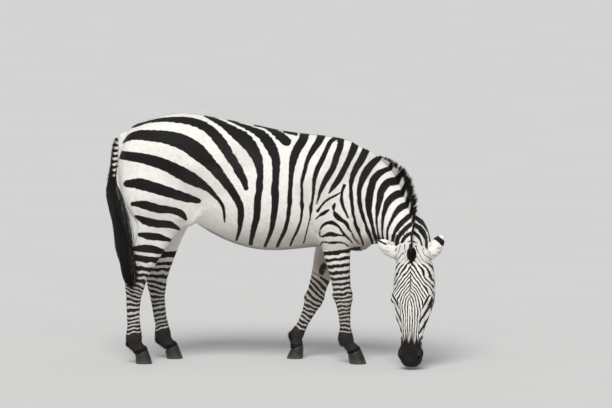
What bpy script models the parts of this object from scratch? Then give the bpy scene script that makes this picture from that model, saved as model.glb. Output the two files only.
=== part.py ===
"""A plains zebra at life size, as a still museum model that grazes with its head turned to its right.

The whole body is first one closed form: lofted tubes for the trunk, neck, head, legs and tail dock, with
muscles as ellipsoids, joined by a voxel remesh. Thin cuts then part it where a person would name its parts.
Hooves, eyes, ears, mane, forelock and tail switch are pieces of their own that seat on it.

Metres, +Z up, +X the way the body faces, +Y its left. The parts are laid out from the trunk's mid plane, and
the last step moves them all so that the origin is on the floor under the model's middle.
"""

import math

import bmesh
import bpy
import numpy as np
from mathutils import Matrix, Vector

# ---- driving dimensions --------------------------------------------------------------------------

GAP = 0.0004  # between pieces that meet on a plane
SEAT_GAP = 0.0009  # between a piece and the swollen form that it is cut to seat on

VOXEL = 0.009  # the grain in which the muscles are joined
EASE_ROUNDS = 8  # of smoothing over the whole body
BLEND_ROUNDS = 60  # and over the broad muscles only
BROAD_ABOVE = 0.56  # the height where the broad muscles start
HEAD_CLEAR = 0.30  # from the head's middle, how far the broad smoothing stays away
FADE = 0.12  # over which it comes in
BODY_TRIANGLES = 4900
FACE_SHARE = 0.005  # how strongly the thinning leaves the head its faces

FORE_FOOT_Y = 0.115  # each foot's distance from the mid plane
HIND_FOOT_Y = 0.110
CORONET_TILT = math.radians(24)  # the hoof's top edge drops from toe to heel

HEAD_YAW = math.radians(13)  # how far past square the face is turned
HEAD_TILT = math.radians(6)  # how far the muzzle swings forward of the poll
POLL = Vector((0.714, -0.345, 0.612))  # x, y from the mid plane, z

EYE_RADIUS = 0.0205
EYE_PLACE = (0.248, 0.0900, -0.040)  # down the head, to the side, behind the forehead line

EAR_WIDTH = 0.082
EAR_WALL = 0.006
EAR_ROOT = (0.040, 0.064, -0.058)  # as EYE_PLACE
EAR_TIPS = {"right": (0.540, -0.290, 0.668), "left": (0.878, -0.280, 0.696)}

MANE_HEIGHT = 0.062
MANE_THICKNESS = 0.028
MANE_ROOT = 0.022  # how deep the mane sits in the crest
MANE_ENDS = (0.22, 0.95)  # shares of the neck's length

NECK_CUT = (0.500, -8)  # x, and its lean in degrees
THIGH_CUT = (-0.610, 0.752, 14.8)  # x, z and its slope in degrees, from the groin up over the flank
ELBOW_CUT = 0.570  # z

WHITE_COAT = (0.80, 0.78, 0.74, 1.0)
LONG_HAIR = (0.020, 0.018, 0.016, 1.0)
MANE_HAIR = (0.42, 0.40, 0.38, 1.0)
HOOF_HORN = (0.045, 0.040, 0.036, 1.0)
EYE_BROWN = (0.012, 0.008, 0.006, 1.0)


# ---- shared shaping ------------------------------------------------------------------------------


def clear_scene():
    for thing in list(bpy.data.objects):
        bpy.data.objects.remove(thing)


def through(keys, rows, at):
    """Smooth values at the places in at, on a curve through rows of numbers given at keys."""
    keys = np.array(keys, float)
    rows = np.array(rows, float).reshape(len(keys), -1)
    slopes = np.gradient(rows, keys, axis=0)
    at = np.asarray(at, float)
    i = np.clip(np.searchsorted(keys, at, "right") - 1, 0, len(keys) - 2)
    span = (keys[i + 1] - keys[i])[:, None]
    t = ((at - keys[i])[:, None]) / span
    rise = rows[i + 1] - rows[i]
    a = slopes[i] * span - rise
    b = rise - slopes[i + 1] * span
    return rows[i] * (1 - t) + rows[i + 1] * t + t * (1 - t) * (a * (1 - t) + b * t)


def unit(v):
    return v / np.linalg.norm(v, axis=-1, keepdims=True)


def frames(centres, front):
    """The front and side directions of each ring of a tube, square to its line."""
    along = unit(np.gradient(centres, axis=0))
    front = front - along * np.sum(front * along, axis=1, keepdims=True)
    front = unit(front)
    return front, np.cross(front, along)


def placed(name, mesh):
    """A new object for a mesh, in the scene."""
    made = bpy.data.objects.new(name, mesh)
    bpy.context.scene.collection.objects.link(made)
    return made


def meshed(name, bm):
    """A new object with the faces of a bmesh, which is freed."""
    mesh = bpy.data.meshes.new(name)
    bm.to_mesh(mesh)
    bm.free()
    return placed(name, mesh)


def loft(name, rings):
    """A closed form through rings of points, with a flat face at each end."""
    bm = bmesh.new()
    loops = [[bm.verts.new(point) for point in ring] for ring in rings]
    sides = len(loops[0])
    for low, high in zip(loops, loops[1:]):
        for k in range(sides):
            after = (k + 1) % sides
            bm.faces.new((low[k], low[after], high[after], high[k]))
    bm.faces.new(loops[0])
    bm.faces.new(loops[-1])
    bmesh.ops.recalc_face_normals(bm, faces=bm.faces)
    return meshed(name, bm)


def turned(degrees):
    """The rotation about X, then Y, then Z."""
    about_x = Matrix.Rotation(math.radians(degrees[0]), 3, "X")
    about_y = Matrix.Rotation(math.radians(degrees[1]), 3, "Y")
    about_z = Matrix.Rotation(math.radians(degrees[2]), 3, "Z")
    return about_z @ about_y @ about_x


def tube(name, centres, front, reach, back, half, power=2.0, sides=28, upright=False):
    """A closed tube: each ring reaches that far to its front and back, and half to each side."""
    count = len(centres)
    front, side = frames(centres, np.broadcast_to(np.array(front, float), (count, 3)))
    if upright:
        front = np.broadcast_to(np.array((0.0, 0, 1)), (count, 3))
        side = np.broadcast_to(np.array((0.0, 1, 0)), (count, 3))
    turn = np.linspace(0, 2 * math.pi, sides, endpoint=False)
    power = np.broadcast_to(power, (count,))[:, None]
    across = np.sign(np.cos(turn)) * np.abs(np.cos(turn)) ** (2 / power)
    ahead = np.sign(np.sin(turn)) * np.abs(np.sin(turn)) ** (2 / power)
    length = np.where(ahead > 0, np.array(reach)[:, None], np.array(back)[:, None])
    points = (
        centres[:, None]
        + side[:, None] * (across * np.array(half)[:, None])[..., None]
        + front[:, None] * (ahead * length)[..., None]
    )
    return loft(name, points)


def ellipsoid(name, centre, radii, turn=(0, 0, 0), axes=None, sides=24):
    """A muscle: an ellipsoid at a place from the mid plane, turned by degrees or set on given axes."""
    bm = bmesh.new()
    bmesh.ops.create_uvsphere(bm, u_segments=sides, v_segments=sides // 2 + 1, radius=1.0)
    spin = axes or turned(turn)
    place = Matrix.Translation(centre) @ spin.to_4x4() @ Matrix.Diagonal((*radii, 1))
    bmesh.ops.transform(bm, matrix=place, verts=bm.verts)
    bmesh.ops.recalc_face_normals(bm, faces=bm.faces)
    return meshed(name, bm)


def evaluated(thing):
    """The object with its modifiers applied."""
    bpy.context.view_layer.update()
    graph = bpy.context.evaluated_depsgraph_get()
    mesh = bpy.data.meshes.new_from_object(thing.evaluated_get(graph))
    thing.modifiers.clear()
    thing.data = mesh
    return thing


def joined(name, things):
    """One object that holds all the meshes, each in its own place."""
    bm = bmesh.new()
    for thing in things:
        bm.from_mesh(thing.data)
        bpy.data.objects.remove(thing)
    return meshed(name, bm)


def box_cutter(name, centre, size, turn):
    """A box that cuts: size along its own axes, turned by degrees about X, Y and Z."""
    bm = bmesh.new()
    bmesh.ops.create_cube(bm, size=1.0)
    place = Matrix.Translation(centre) @ turned(turn).to_4x4() @ Matrix.Diagonal((*size, 1))
    bmesh.ops.transform(bm, matrix=place, verts=bm.verts)
    made = meshed(name, bm)
    made.hide_render = True
    made.display_type = "WIRE"
    return made


def cut_away(thing, cutter):
    """Takes the cutter's form out of the thing, and removes the cutter."""
    cut = thing.modifiers.new("cut", "BOOLEAN")
    cut.object = cutter
    cut.solver = "EXACT"
    evaluated(thing)
    bpy.data.objects.remove(cutter)
    return thing


def swollen(name, thing, by):
    """A copy of the thing, larger by a skin of that thickness."""
    copy = placed(name, thing.data.copy())
    grow = copy.modifiers.new("grow", "DISPLACE")
    grow.strength = by
    grow.mid_level = 0.0
    evaluated(copy)
    copy.hide_render = True
    return copy


# ---- trunk ---------------------------------------------------------------------------------------
# x, top line, under line, half width, level of the widest place (0 under line, 1 top line), fullness

TRUNK = [
    (-0.812, 1.110, 0.985, 0.050, 0.50, 2.0),
    (-0.785, 1.207, 0.925, 0.115, 0.55, 2.0),
    (-0.735, 1.254, 0.880, 0.168, 0.58, 2.1),
    (-0.650, 1.285, 0.830, 0.204, 0.60, 2.2),
    (-0.540, 1.314, 0.785, 0.226, 0.58, 2.2),
    (-0.430, 1.316, 0.735, 0.234, 0.52, 2.1),
    (-0.330, 1.299, 0.672, 0.240, 0.47, 2.0),
    (-0.220, 1.279, 0.622, 0.254, 0.45, 2.0),
    (-0.100, 1.257, 0.590, 0.264, 0.45, 2.0),
    (0.020, 1.230, 0.583, 0.260, 0.46, 2.0),
    (0.130, 1.213, 0.592, 0.241, 0.47, 2.0),
    (0.240, 1.203, 0.600, 0.212, 0.46, 1.9),
    (0.340, 1.190, 0.588, 0.190, 0.44, 1.8),
    (0.430, 1.160, 0.580, 0.160, 0.42, 1.8),
    (0.500, 1.080, 0.620, 0.110, 0.42, 1.9),
]


def make_trunk():
    table = np.array(TRUNK)
    x = np.linspace(table[0, 0], table[-1, 0], 44)
    top, under, half, level, power = through(table[:, 0], table[:, 1:], x).T
    middle = under + (top - under) * level
    centres = np.stack([x, np.zeros_like(x), middle], axis=1)
    return tube("trunk", centres, (0, 0, 1), top - middle, middle - under, half, power, upright=True)


def make_trunk_muscles():
    """Both sides' haunch, thigh, shoulder and breast muscles, as name, place, radii and turn."""
    one_side = [
        ("croup", (-0.570, 0.092, 1.145), (0.200, 0.105, 0.128), (0, 12, 0)),
        ("rump", (-0.690, 0.100, 1.040), (0.115, 0.098, 0.200), (0, -8, 0)),
        ("buttock", (-0.738, 0.088, 0.930), (0.078, 0.078, 0.210), (0, -14, 0)),
        ("thigh", (-0.625, 0.130, 0.920), (0.165, 0.088, 0.230), (0, -10, 0)),
        ("stifle", (-0.488, 0.138, 0.855), (0.084, 0.070, 0.150), (0, -25, 0)),
        ("shoulder_blade", (0.300, 0.088, 0.930), (0.130, 0.078, 0.215), (0, 18, 0)),
        ("upper_arm", (0.300, 0.118, 0.790), (0.130, 0.070, 0.140), (0, 0, 0)),
        ("shoulder_point", (0.405, 0.092, 0.780), (0.080, 0.068, 0.120), (0, 10, 0)),
        ("breast", (0.440, 0.052, 0.668), (0.092, 0.070, 0.086), (0, 0, 0)),
    ]
    made = []
    for side, sign in (("right", -1), ("left", 1)):
        for name, (x, y, z), radii, turn in one_side:
            made.append(ellipsoid(f"{name}_{side}", (x, y * sign, z), radii, turn))
    made.append(ellipsoid("withers", (0.290, 0, 1.080), (0.200, 0.070, 0.112), (0, 6, 0)))
    return made


# ---- neck ----------------------------------------------------------------------------------------
# place of the middle, half depth from crest to throat, half width, and the way that the crest faces

NECK = [
    ((0.330, 0.000, 0.872), 0.270, 0.160, (0.05, 0.00, 1.00)),
    ((0.430, 0.000, 0.862), 0.276, 0.158, (0.08, 0.00, 1.00)),
    ((0.500, -0.008, 0.842), 0.228, 0.142, (0.20, 0.00, 0.98)),
    ((0.556, -0.030, 0.806), 0.187, 0.128, (0.38, -0.05, 0.92)),
    ((0.606, -0.072, 0.764), 0.164, 0.122, (0.46, -0.25, 0.85)),
    ((0.658, -0.128, 0.718), 0.142, 0.124, (0.42, -0.50, 0.75)),
    ((0.700, -0.185, 0.662), 0.134, 0.122, (0.22, -0.78, 0.58)),
    ((0.720, -0.232, 0.600), 0.122, 0.104, (-0.02, -0.92, 0.35)),
    ((0.730, -0.262, 0.530), 0.096, 0.082, (-0.12, -0.96, 0.15)),
]


def neck_line(rings):
    """The neck's middles, half depths, half widths and crest directions on a smooth line."""
    keys = np.linspace(0, 1, len(NECK))
    rows = [(*place, depth, half, *way) for place, depth, half, way in NECK]
    rows = through(keys, rows, np.linspace(0, 1, rings))
    return rows[:, :3], rows[:, 3], rows[:, 4], rows[:, 5:]


def make_neck():
    centres, depth, half, crest_way = neck_line(30)
    return tube("neck", centres, crest_way, depth, depth, half, 1.9)


# ---- head ----------------------------------------------------------------------------------------
# down the head from the poll: front line and back line from the forehead line, half width, fullness

HEAD = [
    (0.000, -0.020, -0.150, 0.066, 2.1),
    (0.050, 0.002, -0.190, 0.092, 2.2),
    (0.110, 0.014, -0.214, 0.104, 2.3),
    (0.170, 0.020, -0.224, 0.108, 2.4),
    (0.230, 0.021, -0.220, 0.107, 2.4),
    (0.290, 0.018, -0.196, 0.096, 2.4),
    (0.350, 0.012, -0.160, 0.078, 2.4),
    (0.410, 0.005, -0.130, 0.063, 2.3),
    (0.470, -0.001, -0.112, 0.057, 2.3),
    (0.530, -0.006, -0.108, 0.059, 2.3),
    (0.575, -0.018, -0.104, 0.056, 2.2),
    (0.598, -0.042, -0.084, 0.034, 2.0),
]


def head_axes():
    """The head's own directions: down its length, out of the forehead, and to the zebra's left."""
    facing = Vector((-math.sin(HEAD_YAW), -math.cos(HEAD_YAW), 0))
    up = Vector((0, 0, 1))
    down = facing * math.sin(HEAD_TILT) - up * math.cos(HEAD_TILT)
    out = facing * math.cos(HEAD_TILT) + up * math.sin(HEAD_TILT)
    return down, out, out.cross(down)


def on_head(down_by, side_by, out_by):
    """A place on the head, from the poll, in the head's own directions."""
    down, out, left = head_axes()
    return POLL + down * down_by + left * side_by + out * out_by


def make_head():
    down, out, left = head_axes()
    table = np.array(HEAD)
    t = np.linspace(0, table[-1, 0], 40)
    front, back, half, power = through(table[:, 0], table[:, 1:], t).T
    middle = front - (front - back) * 0.42
    centres = np.array([POLL + down * a + out * b for a, b in zip(t, middle)])
    pieces = [tube("skull", centres, out, front - middle, middle - back, half, power)]
    spin = Matrix((left, out, -down)).transposed()
    one_side = [
        ("brow", (0.232, 0.082, -0.032), (0.028, 0.036, 0.042)),
        ("cheek_bone", (0.300, 0.066, -0.066), (0.028, 0.040, 0.075)),
        ("jowl", (0.215, 0.058, -0.150), (0.042, 0.078, 0.105)),
        ("nostril", (0.528, 0.040, -0.036), (0.030, 0.034, 0.040)),
        ("ear_root", (0.022, 0.060, -0.050), (0.034, 0.042, 0.045)),
    ]
    for side, sign in (("right", -1), ("left", 1)):
        for name, (a, b, c), radii in one_side:
            place = on_head(a, b * sign, c)
            pieces.append(ellipsoid(f"{name}_{side}", place, radii, axes=spin))
    for name, place, radii in (
        ("upper_lip", (0.568, 0, -0.042), (0.052, 0.040, 0.034)),
        ("chin", (0.545, 0, -0.104), (0.036, 0.024, 0.036)),
        ("poll", (0.030, 0, -0.070), (0.070, 0.075, 0.075)),
    ):
        pieces.append(ellipsoid(name, on_head(*place), radii, axes=spin))
    return pieces


# ---- legs ----------------------------------------------------------------------------------------
# distance from the mid plane, how far the sole stands ahead of the coronet, and the joints from the top down:
# inside the trunk, elbow or stifle, knee or hock, fetlock, coronet (x, z)

LEGS = {
    "fore_right": (
        -FORE_FOOT_Y,
        0.020,
        [(0.295, 0.80), (0.318, 0.655), (0.360, 0.352), (0.378, 0.146), (0.420, 0.064)],
    ),
    "fore_left": (
        FORE_FOOT_Y,
        -0.012,
        [(0.300, 0.80), (0.300, 0.640), (0.208, 0.318), (0.122, 0.128), (0.118, 0.064)],
    ),
    "hind_right": (
        -HIND_FOOT_Y,
        0.014,
        [(-0.600, 0.95), (-0.592, 0.790), (-0.728, 0.420), (-0.733, 0.136), (-0.698, 0.062)],
    ),
    "hind_left": (
        HIND_FOOT_Y,
        0.018,
        [(-0.590, 0.95), (-0.560, 0.780), (-0.622, 0.405), (-0.588, 0.128), (-0.548, 0.062)],
    ),
}

# along the joints, one for each: depth front to back, width, how far the section sits forward
FORE_SECTIONS = [
    (0.0, 0.200, 0.120, 0.000),
    (1.0, 0.170, 0.112, 0.000),
    (1.3, 0.148, 0.098, 0.000),
    (1.6, 0.116, 0.082, 0.000),
    (1.85, 0.102, 0.074, 0.000),
    (2.0, 0.106, 0.082, 0.002),
    (2.2, 0.084, 0.066, 0.000),
    (2.45, 0.070, 0.050, 0.000),
    (2.75, 0.068, 0.048, 0.000),
    (2.95, 0.084, 0.062, -0.003),
    (3.1, 0.084, 0.064, -0.004),
    (3.5, 0.066, 0.056, 0.000),
    (4.0, 0.078, 0.070, 0.000),
    (4.4, 0.078, 0.070, 0.000),
]
HIND_SECTIONS = [
    (0.0, 0.360, 0.150, 0.000),
    (1.0, 0.300, 0.140, 0.000),
    (1.2, 0.240, 0.122, 0.000),
    (1.4, 0.190, 0.104, 0.000),
    (1.6, 0.156, 0.088, 0.000),
    (1.8, 0.126, 0.076, 0.000),
    (1.95, 0.118, 0.078, -0.004),
    (2.05, 0.110, 0.078, -0.002),
    (2.2, 0.088, 0.064, 0.000),
    (2.45, 0.078, 0.054, 0.000),
    (2.75, 0.078, 0.052, 0.000),
    (2.95, 0.094, 0.064, -0.004),
    (3.1, 0.092, 0.066, -0.004),
    (3.5, 0.070, 0.058, 0.000),
    (4.0, 0.080, 0.072, 0.000),
    (4.4, 0.080, 0.072, 0.000),
]
HIP_SPREAD = 0.018  # how much further out the hind legs start than they stand
LEG_END = 4.4  # where a leg ends, past the coronet and inside the hoof


def leg_places(leg):
    """The joints of a leg in space, with one more below the coronet, inside the hoof."""
    y, _, joints = LEGS[leg]
    places = [(x, y, z) for x, z in joints]
    if leg.startswith("hind"):
        out = math.copysign(HIP_SPREAD, y)
        places[0] = (places[0][0], y + out * 1.2, places[0][2])
        places[1] = (places[1][0], y + out, places[1][2])
    last = np.array(places[-1])
    slope = last - np.array(places[-2])
    places.append(tuple(last + slope * 0.6))
    return np.array(places)


def make_leg(leg):
    places = leg_places(leg)
    sections = np.array(FORE_SECTIONS if leg.startswith("fore") else HIND_SECTIONS)
    s = np.linspace(0, LEG_END, 56)
    centres = through(range(len(places)), places, s)
    depth, width, ahead = through(sections[:, 0], sections[:, 1:], s).T
    front, _ = frames(centres, np.broadcast_to(np.array((1.0, 0, 0)), centres.shape))
    centres = centres + front * ahead[:, None]
    pieces = [tube(leg, centres, (1, 0, 0), depth / 2, depth / 2, width / 2, 2.1, 24)]
    if leg.startswith("hind"):
        knobs = [
            ("hock_point", 2, (-0.042, 0, 0.040), (0.019, 0.020, 0.050), (0, 8, 0)),
            ("hamstring", 2, (-0.026, 0, 0.120), (0.022, 0.018, 0.100), (0, 12, 0)),
        ]
    else:
        knobs = [("knee_back", 2, (-0.038, 0, 0.004), (0.020, 0.022, 0.030), (0, 0, 0))]
    knobs.append(("ergot", 3, (-0.032, 0, -0.010), (0.019, 0.024, 0.026), (0, 0, 0)))
    for name, joint, offset, radii, turn in knobs:
        pieces.append(ellipsoid(f"{leg}_{name}", places[joint] + np.array(offset), radii, turn))
    return pieces


HOOF_SIZES = {"fore": (0.044, 0.041), "hind": (0.043, 0.038)}  # half length, half width
HOOF_ROUND = 0.88  # under 1, squarer than an ellipse
HEEL_PINCH = 0.18  # how much narrower the hoof gets at the heel
HOOF_RINGS = [  # share of the height, share of the length, share of the width
    (0.00, 0.96, 0.95),
    (0.05, 1.00, 1.00),
    (0.50, 0.93, 0.93),
    (0.88, 0.86, 0.87),
    (1.00, 0.84, 0.85),
]


def make_hoof(leg):
    """A hoof from its flat sole up to the coronet, whose plane drops to the heel."""
    y, ahead, joints = LEGS[leg]
    x, z = joints[-1]
    length, width = HOOF_SIZES[leg[:4]]
    rise = z - GAP
    loops = []
    for height, long, wide in HOOF_RINGS:
        tilt = CORONET_TILT * height
        centre = Vector((x + ahead * (1 - height), y, rise * height))
        ring = []
        for angle in np.linspace(0, 2 * math.pi, 16, endpoint=False):
            ahead_by = length * long * math.copysign(abs(math.cos(angle)) ** HOOF_ROUND, math.cos(angle))
            aside = width * wide * math.copysign(abs(math.sin(angle)) ** HOOF_ROUND, math.sin(angle))
            if ahead_by < 0:
                aside *= 1 - HEEL_PINCH * (ahead_by / length) ** 2
            offset = Vector((ahead_by * math.cos(tilt), aside, ahead_by * math.sin(tilt)))
            ring.append(centre + offset)
        loops.append(ring)
    return loft(f"hoof_{leg}", loops)


# ---- tail ----------------------------------------------------------------------------------------
# from the rump down: place of the middle, half thickness front to back, half width

TAIL = [
    ((-0.745, 0.000, 1.190), 0.042, 0.042),
    ((-0.806, -0.002, 1.168), 0.034, 0.034),
    ((-0.833, -0.008, 1.105), 0.023, 0.025),
    ((-0.843, -0.014, 1.030), 0.022, 0.024),
    ((-0.852, -0.024, 0.955), 0.026, 0.025),
    ((-0.848, -0.038, 0.895), 0.034, 0.027),
    ((-0.828, -0.066, 0.826), 0.040, 0.031),
    ((-0.800, -0.108, 0.714), 0.043, 0.034),
    ((-0.785, -0.152, 0.602), 0.041, 0.032),
    ((-0.770, -0.184, 0.520), 0.034, 0.027),
    ((-0.755, -0.200, 0.450), 0.026, 0.021),
    ((-0.742, -0.206, 0.402), 0.006, 0.006),
]
SWITCH_STARTS = 4.0  # the station where the dock ends and the switch begins


def make_tail(name, start, end, rings):
    stations = [(*place, thick, wide) for place, thick, wide in TAIL]
    rows = through(range(len(TAIL)), stations, np.linspace(start, end, rings))
    centres, thick, wide = rows[:, :3], rows[:, 3], rows[:, 4]
    return tube(name, centres, (-1, 0, 0.3), thick, thick, wide, 2.0, 12)


# ---- ears, mane and eyes -------------------------------------------------------------------------


def make_ear(side, sign, aim):
    """A cupped leaf that points to aim, its back to the front of the face and its opening behind."""
    _, out, _ = head_axes()
    root = on_head(EAR_ROOT[0], EAR_ROOT[1] * sign, EAR_ROOT[2])
    tip = Vector(aim)
    along = (tip - root).normalized()
    back = (out - along * out.dot(along)).normalized()
    across = along.cross(back)
    shares = np.linspace(0, 1, 8)
    half = through([0, 0.15, 0.45, 0.75, 0.92, 1.0], [0.42, 0.62, 1.0, 0.84, 0.54, 0.20], shares)[:, 0]
    wrap = through([0, 0.25, 0.5, 1.0], [150, 105, 78, 55], shares)[:, 0]
    bm = bmesh.new()
    rows = []
    for share, wide, spread in zip(shares, half * EAR_WIDTH / 2, np.radians(wrap)):
        radius = wide / math.sin(min(spread, math.pi / 2))
        lean = back * (0.012 * math.sin(math.pi * share))
        row = []
        for angle in np.linspace(-spread, spread, 7):
            curl = back * (radius * (math.cos(angle) - 1)) + across * (radius * math.sin(angle))
            row.append(bm.verts.new(root + (tip - root) * share + lean + curl))
        rows.append(row)
    for low, high in zip(rows, rows[1:]):
        for k in range(len(low) - 1):
            bm.faces.new((low[k], low[k + 1], high[k + 1], high[k]))
    bm.normal_update()
    if sum(face.normal.dot(back) for face in bm.faces) < 0:
        bmesh.ops.reverse_faces(bm, faces=bm.faces)
    made = meshed(f"ear_{side}", bm)
    wall = made.modifiers.new("wall", "SOLIDIFY")
    wall.thickness = EAR_WALL
    wall.offset = -1.0
    return evaluated(made)


def crest(start, end, rings):
    """Places along the neck's crest, with the way that the hair stands on it."""
    centres, depth, _, crest_way = neck_line(64)
    front, _ = frames(centres, crest_way)
    keys = np.linspace(0, 1, 64)
    at = np.linspace(start, end, rings)
    return through(keys, centres + front * depth[:, None], at), unit(through(keys, front, at))


def make_mane():
    """The stiff upright mane, a fin that is sunk a little into the crest."""
    place, stand = crest(*MANE_ENDS, 20)
    share = np.linspace(0, 1, len(place))
    height = MANE_HEIGHT * through([0, 0.2, 0.38, 0.8, 1.0], [0.02, 0.5, 1.0, 1.0, 0.45], share)[:, 0]
    thick = np.full(len(place), MANE_THICKNESS / 2)
    reach = (height + MANE_ROOT) / 2
    centres = place + stand * (reach - MANE_ROOT)[:, None]
    return tube("mane", centres, stand, reach, reach, thick, 2.6, 8)


def make_forelock():
    """The tuft that falls from between the ears on to the brow."""
    down, out, _ = head_axes()
    share = np.linspace(0, 1, 8)
    fall = through([0, 0.5, 1], [-0.030, 0.015, 0.068], share)[:, 0]
    stand = through([0, 0.35, 1], [0.004, 0.014, 0.006], share)[:, 0]
    half = through([0, 0.4, 0.8, 1], [0.018, 0.024, 0.014, 0.004], share)[:, 0]
    centres = np.array([POLL + down * a + out * b for a, b in zip(fall, stand)])
    return tube("forelock", centres, out, half * 0.9 + 0.003, half + 0.016, half, 2.0, 10)


def make_eye(side, sign):
    return ellipsoid(
        f"eye_{side}",
        on_head(EYE_PLACE[0], EYE_PLACE[1] * sign, EYE_PLACE[2]),
        (EYE_RADIUS, EYE_RADIUS, EYE_RADIUS),
        sides=12,
    )


# ---- the body, parted ----------------------------------------------------------------------------


def whole_body():
    """One closed form, smoothed over the broad muscles, with more of its faces on the head."""
    pieces = [make_trunk(), make_neck(), *make_trunk_muscles(), *make_head()]
    for leg in LEGS:
        pieces += make_leg(leg)
    body = joined("body", pieces)
    weld = body.modifiers.new("weld", "REMESH")
    weld.mode = "VOXEL"
    weld.voxel_size = VOXEL
    evaluated(body)
    broad = body.vertex_groups.new(name="broad")
    faces = body.vertex_groups.new(name="faces")
    head_middle = on_head(0.30, 0, -0.09)
    for vertex in body.data.vertices:
        off_head = (vertex.co - head_middle).length
        above = min(1.0, max(0.0, (vertex.co.z - BROAD_ABOVE) / FADE))
        away = min(1.0, max(0.0, (off_head - HEAD_CLEAR) / FADE))
        broad.add([vertex.index], above * away, "REPLACE")
        share = 0.1 if away < 0.5 else 0.85 if vertex.co.z < BROAD_ABOVE + FADE / 2 else 1.0
        faces.add([vertex.index], share, "REPLACE")
    for name, rounds, group in (("ease", EASE_ROUNDS, ""), ("blend", BLEND_ROUNDS, "broad")):
        ease = body.modifiers.new(name, "SMOOTH")
        ease.factor = 0.5
        ease.iterations = rounds
        ease.vertex_group = group
    thin = body.modifiers.new("thin", "DECIMATE")
    body.data.calc_loop_triangles()
    thin.ratio = BODY_TRIANGLES / len(body.data.loop_triangles)
    thin.vertex_group = "faces"
    thin.vertex_group_factor = FACE_SHARE
    evaluated(body)
    body.vertex_groups.clear()
    return body


def turn_to(direction):
    """The turn, in degrees about X, Y and Z, that lays a box's own Z along a direction."""
    spin = Vector(direction).to_track_quat("Z", "Y").to_euler()
    return tuple(math.degrees(angle) for angle in spin)


def part_cuts():
    """The thin cuts between the body's parts: name, middle, size and turn."""
    down, out, _ = head_axes()
    neck_x, neck_lean = NECK_CUT
    thigh_x, thigh_z, thigh_slope = THIGH_CUT
    cuts = [
        ("cut_neck", (neck_x, 0, 0.880), (GAP, 0.6, 0.9), (0, neck_lean, 0)),
        ("cut_poll", on_head(0.040, 0, -0.130), (0.42, 0.42, GAP), turn_to(-down * 0.80 - out * 0.60)),
        ("cut_thighs", (thigh_x, 0, thigh_z), (0.43, 0.7, GAP), (0, thigh_slope, 0)),
        ("cut_elbows", (0.320, 0, ELBOW_CUT), (0.34, 0.5, GAP), (0, 0, 0)),
    ]
    for leg, (y, _, joints) in LEGS.items():
        x, z = joints[2]
        lean = math.degrees(math.atan2(joints[3][0] - x, z - joints[3][1]))
        cuts.append((f"cut_{leg}_middle", (x, y, z), (0.20, 0.17, GAP), (0, -lean, 0)))
        x, z = joints[4]
        below = Vector((math.sin(CORONET_TILT), 0, -math.cos(CORONET_TILT))) * 0.05
        place = Vector((x, y, z)) + below
        cuts.append((f"cut_{leg}_coronet", place, (0.17, 0.14, 0.10), (0, -math.degrees(CORONET_TILT), 0)))
    return cuts


def part_middles():
    """About where each part of the body has its middle."""
    middles = {
        "trunk": Vector((-0.2, 0, 0.95)),
        "neck": Vector((0.62, -0.08, 0.78)),
        "head": on_head(0.27, 0, -0.10),
    }
    for leg in LEGS:
        _, top, knee, fetlock, *_ = leg_places(leg)
        share = 0.25 if leg.startswith("hind") else 0.5
        middles[f"leg_{leg}_upper"] = Vector(top + (knee - top) * share)
        middles[f"leg_{leg}_lower"] = Vector((knee + fetlock) / 2)
    return middles


def islands_of(bm):
    """The groups of vertices that hang together."""
    left = set(bm.verts)
    islands = []
    while left:
        front = [left.pop()]
        island = set(front)
        while front:
            near = {vertex for edge in front.pop().link_edges for vertex in edge.verts} & left
            left -= near
            island |= near
            front.extend(near)
        islands.append(island)
    return islands


def parted(body):
    """The body cut into its parts, each an object named for what it is."""
    for cut in part_cuts():
        cut_away(body, box_cutter(*cut))
    bm = bmesh.new()
    bm.from_mesh(body.data)
    bpy.data.objects.remove(body)
    bm.verts.index_update()
    centres = []
    for island in islands_of(bm):
        centre = sum((vertex.co for vertex in island), Vector()) / len(island)
        centres.append((centre, {vertex.index for vertex in island}))
    parts = {}
    for name, middle in part_middles().items():
        keep = min(centres, key=lambda found: (found[0] - middle).length)[1]
        piece = bm.copy()
        others = [vertex for k, vertex in enumerate(piece.verts) if k not in keep]
        bmesh.ops.delete(piece, geom=others, context="VERTS")
        parts[name] = meshed(name, piece)
    bm.free()
    return parts


# ---- finish --------------------------------------------------------------------------------------


def material(name, colour, roughness):
    made = bpy.data.materials.new(name)
    made.use_nodes = True
    shader = made.node_tree.nodes["Principled BSDF"]
    shader.inputs["Base Color"].default_value = colour
    shader.inputs["Roughness"].default_value = roughness
    shader.inputs["Metallic"].default_value = 0.0
    return made


def finish(parts):
    """Each part's own material, smooth shading, and the origin on the floor under the middle."""
    low = [min(v.co[k] for part in parts.values() for v in part.data.vertices) for k in range(3)]
    high = [max(v.co[k] for part in parts.values() for v in part.data.vertices) for k in range(3)]
    shift = Vector((-(low[0] + high[0]) / 2, -(low[1] + high[1]) / 2, 0))
    zebra = bpy.data.collections.new("zebra")
    bpy.context.scene.collection.children.link(zebra)
    for name, part in parts.items():
        part.data.transform(Matrix.Translation(shift))
        colour, roughness = WHITE_COAT, 0.75
        if name.startswith("hoof"):
            colour, roughness = HOOF_HORN, 0.45
        elif name.startswith("eye"):
            colour, roughness = EYE_BROWN, 0.08
        elif name in ("tail_switch", "forelock"):
            colour = LONG_HAIR
        elif name == "mane":
            colour = MANE_HAIR
        part.data.materials.clear()
        part.data.materials.append(material(f"{name}_finish", colour, roughness))
        for holder in list(part.users_collection):
            holder.objects.unlink(part)
        zebra.objects.link(part)
        part.data.shade_smooth()
        part.data.set_sharp_from_angle(angle=math.radians(50))


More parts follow.
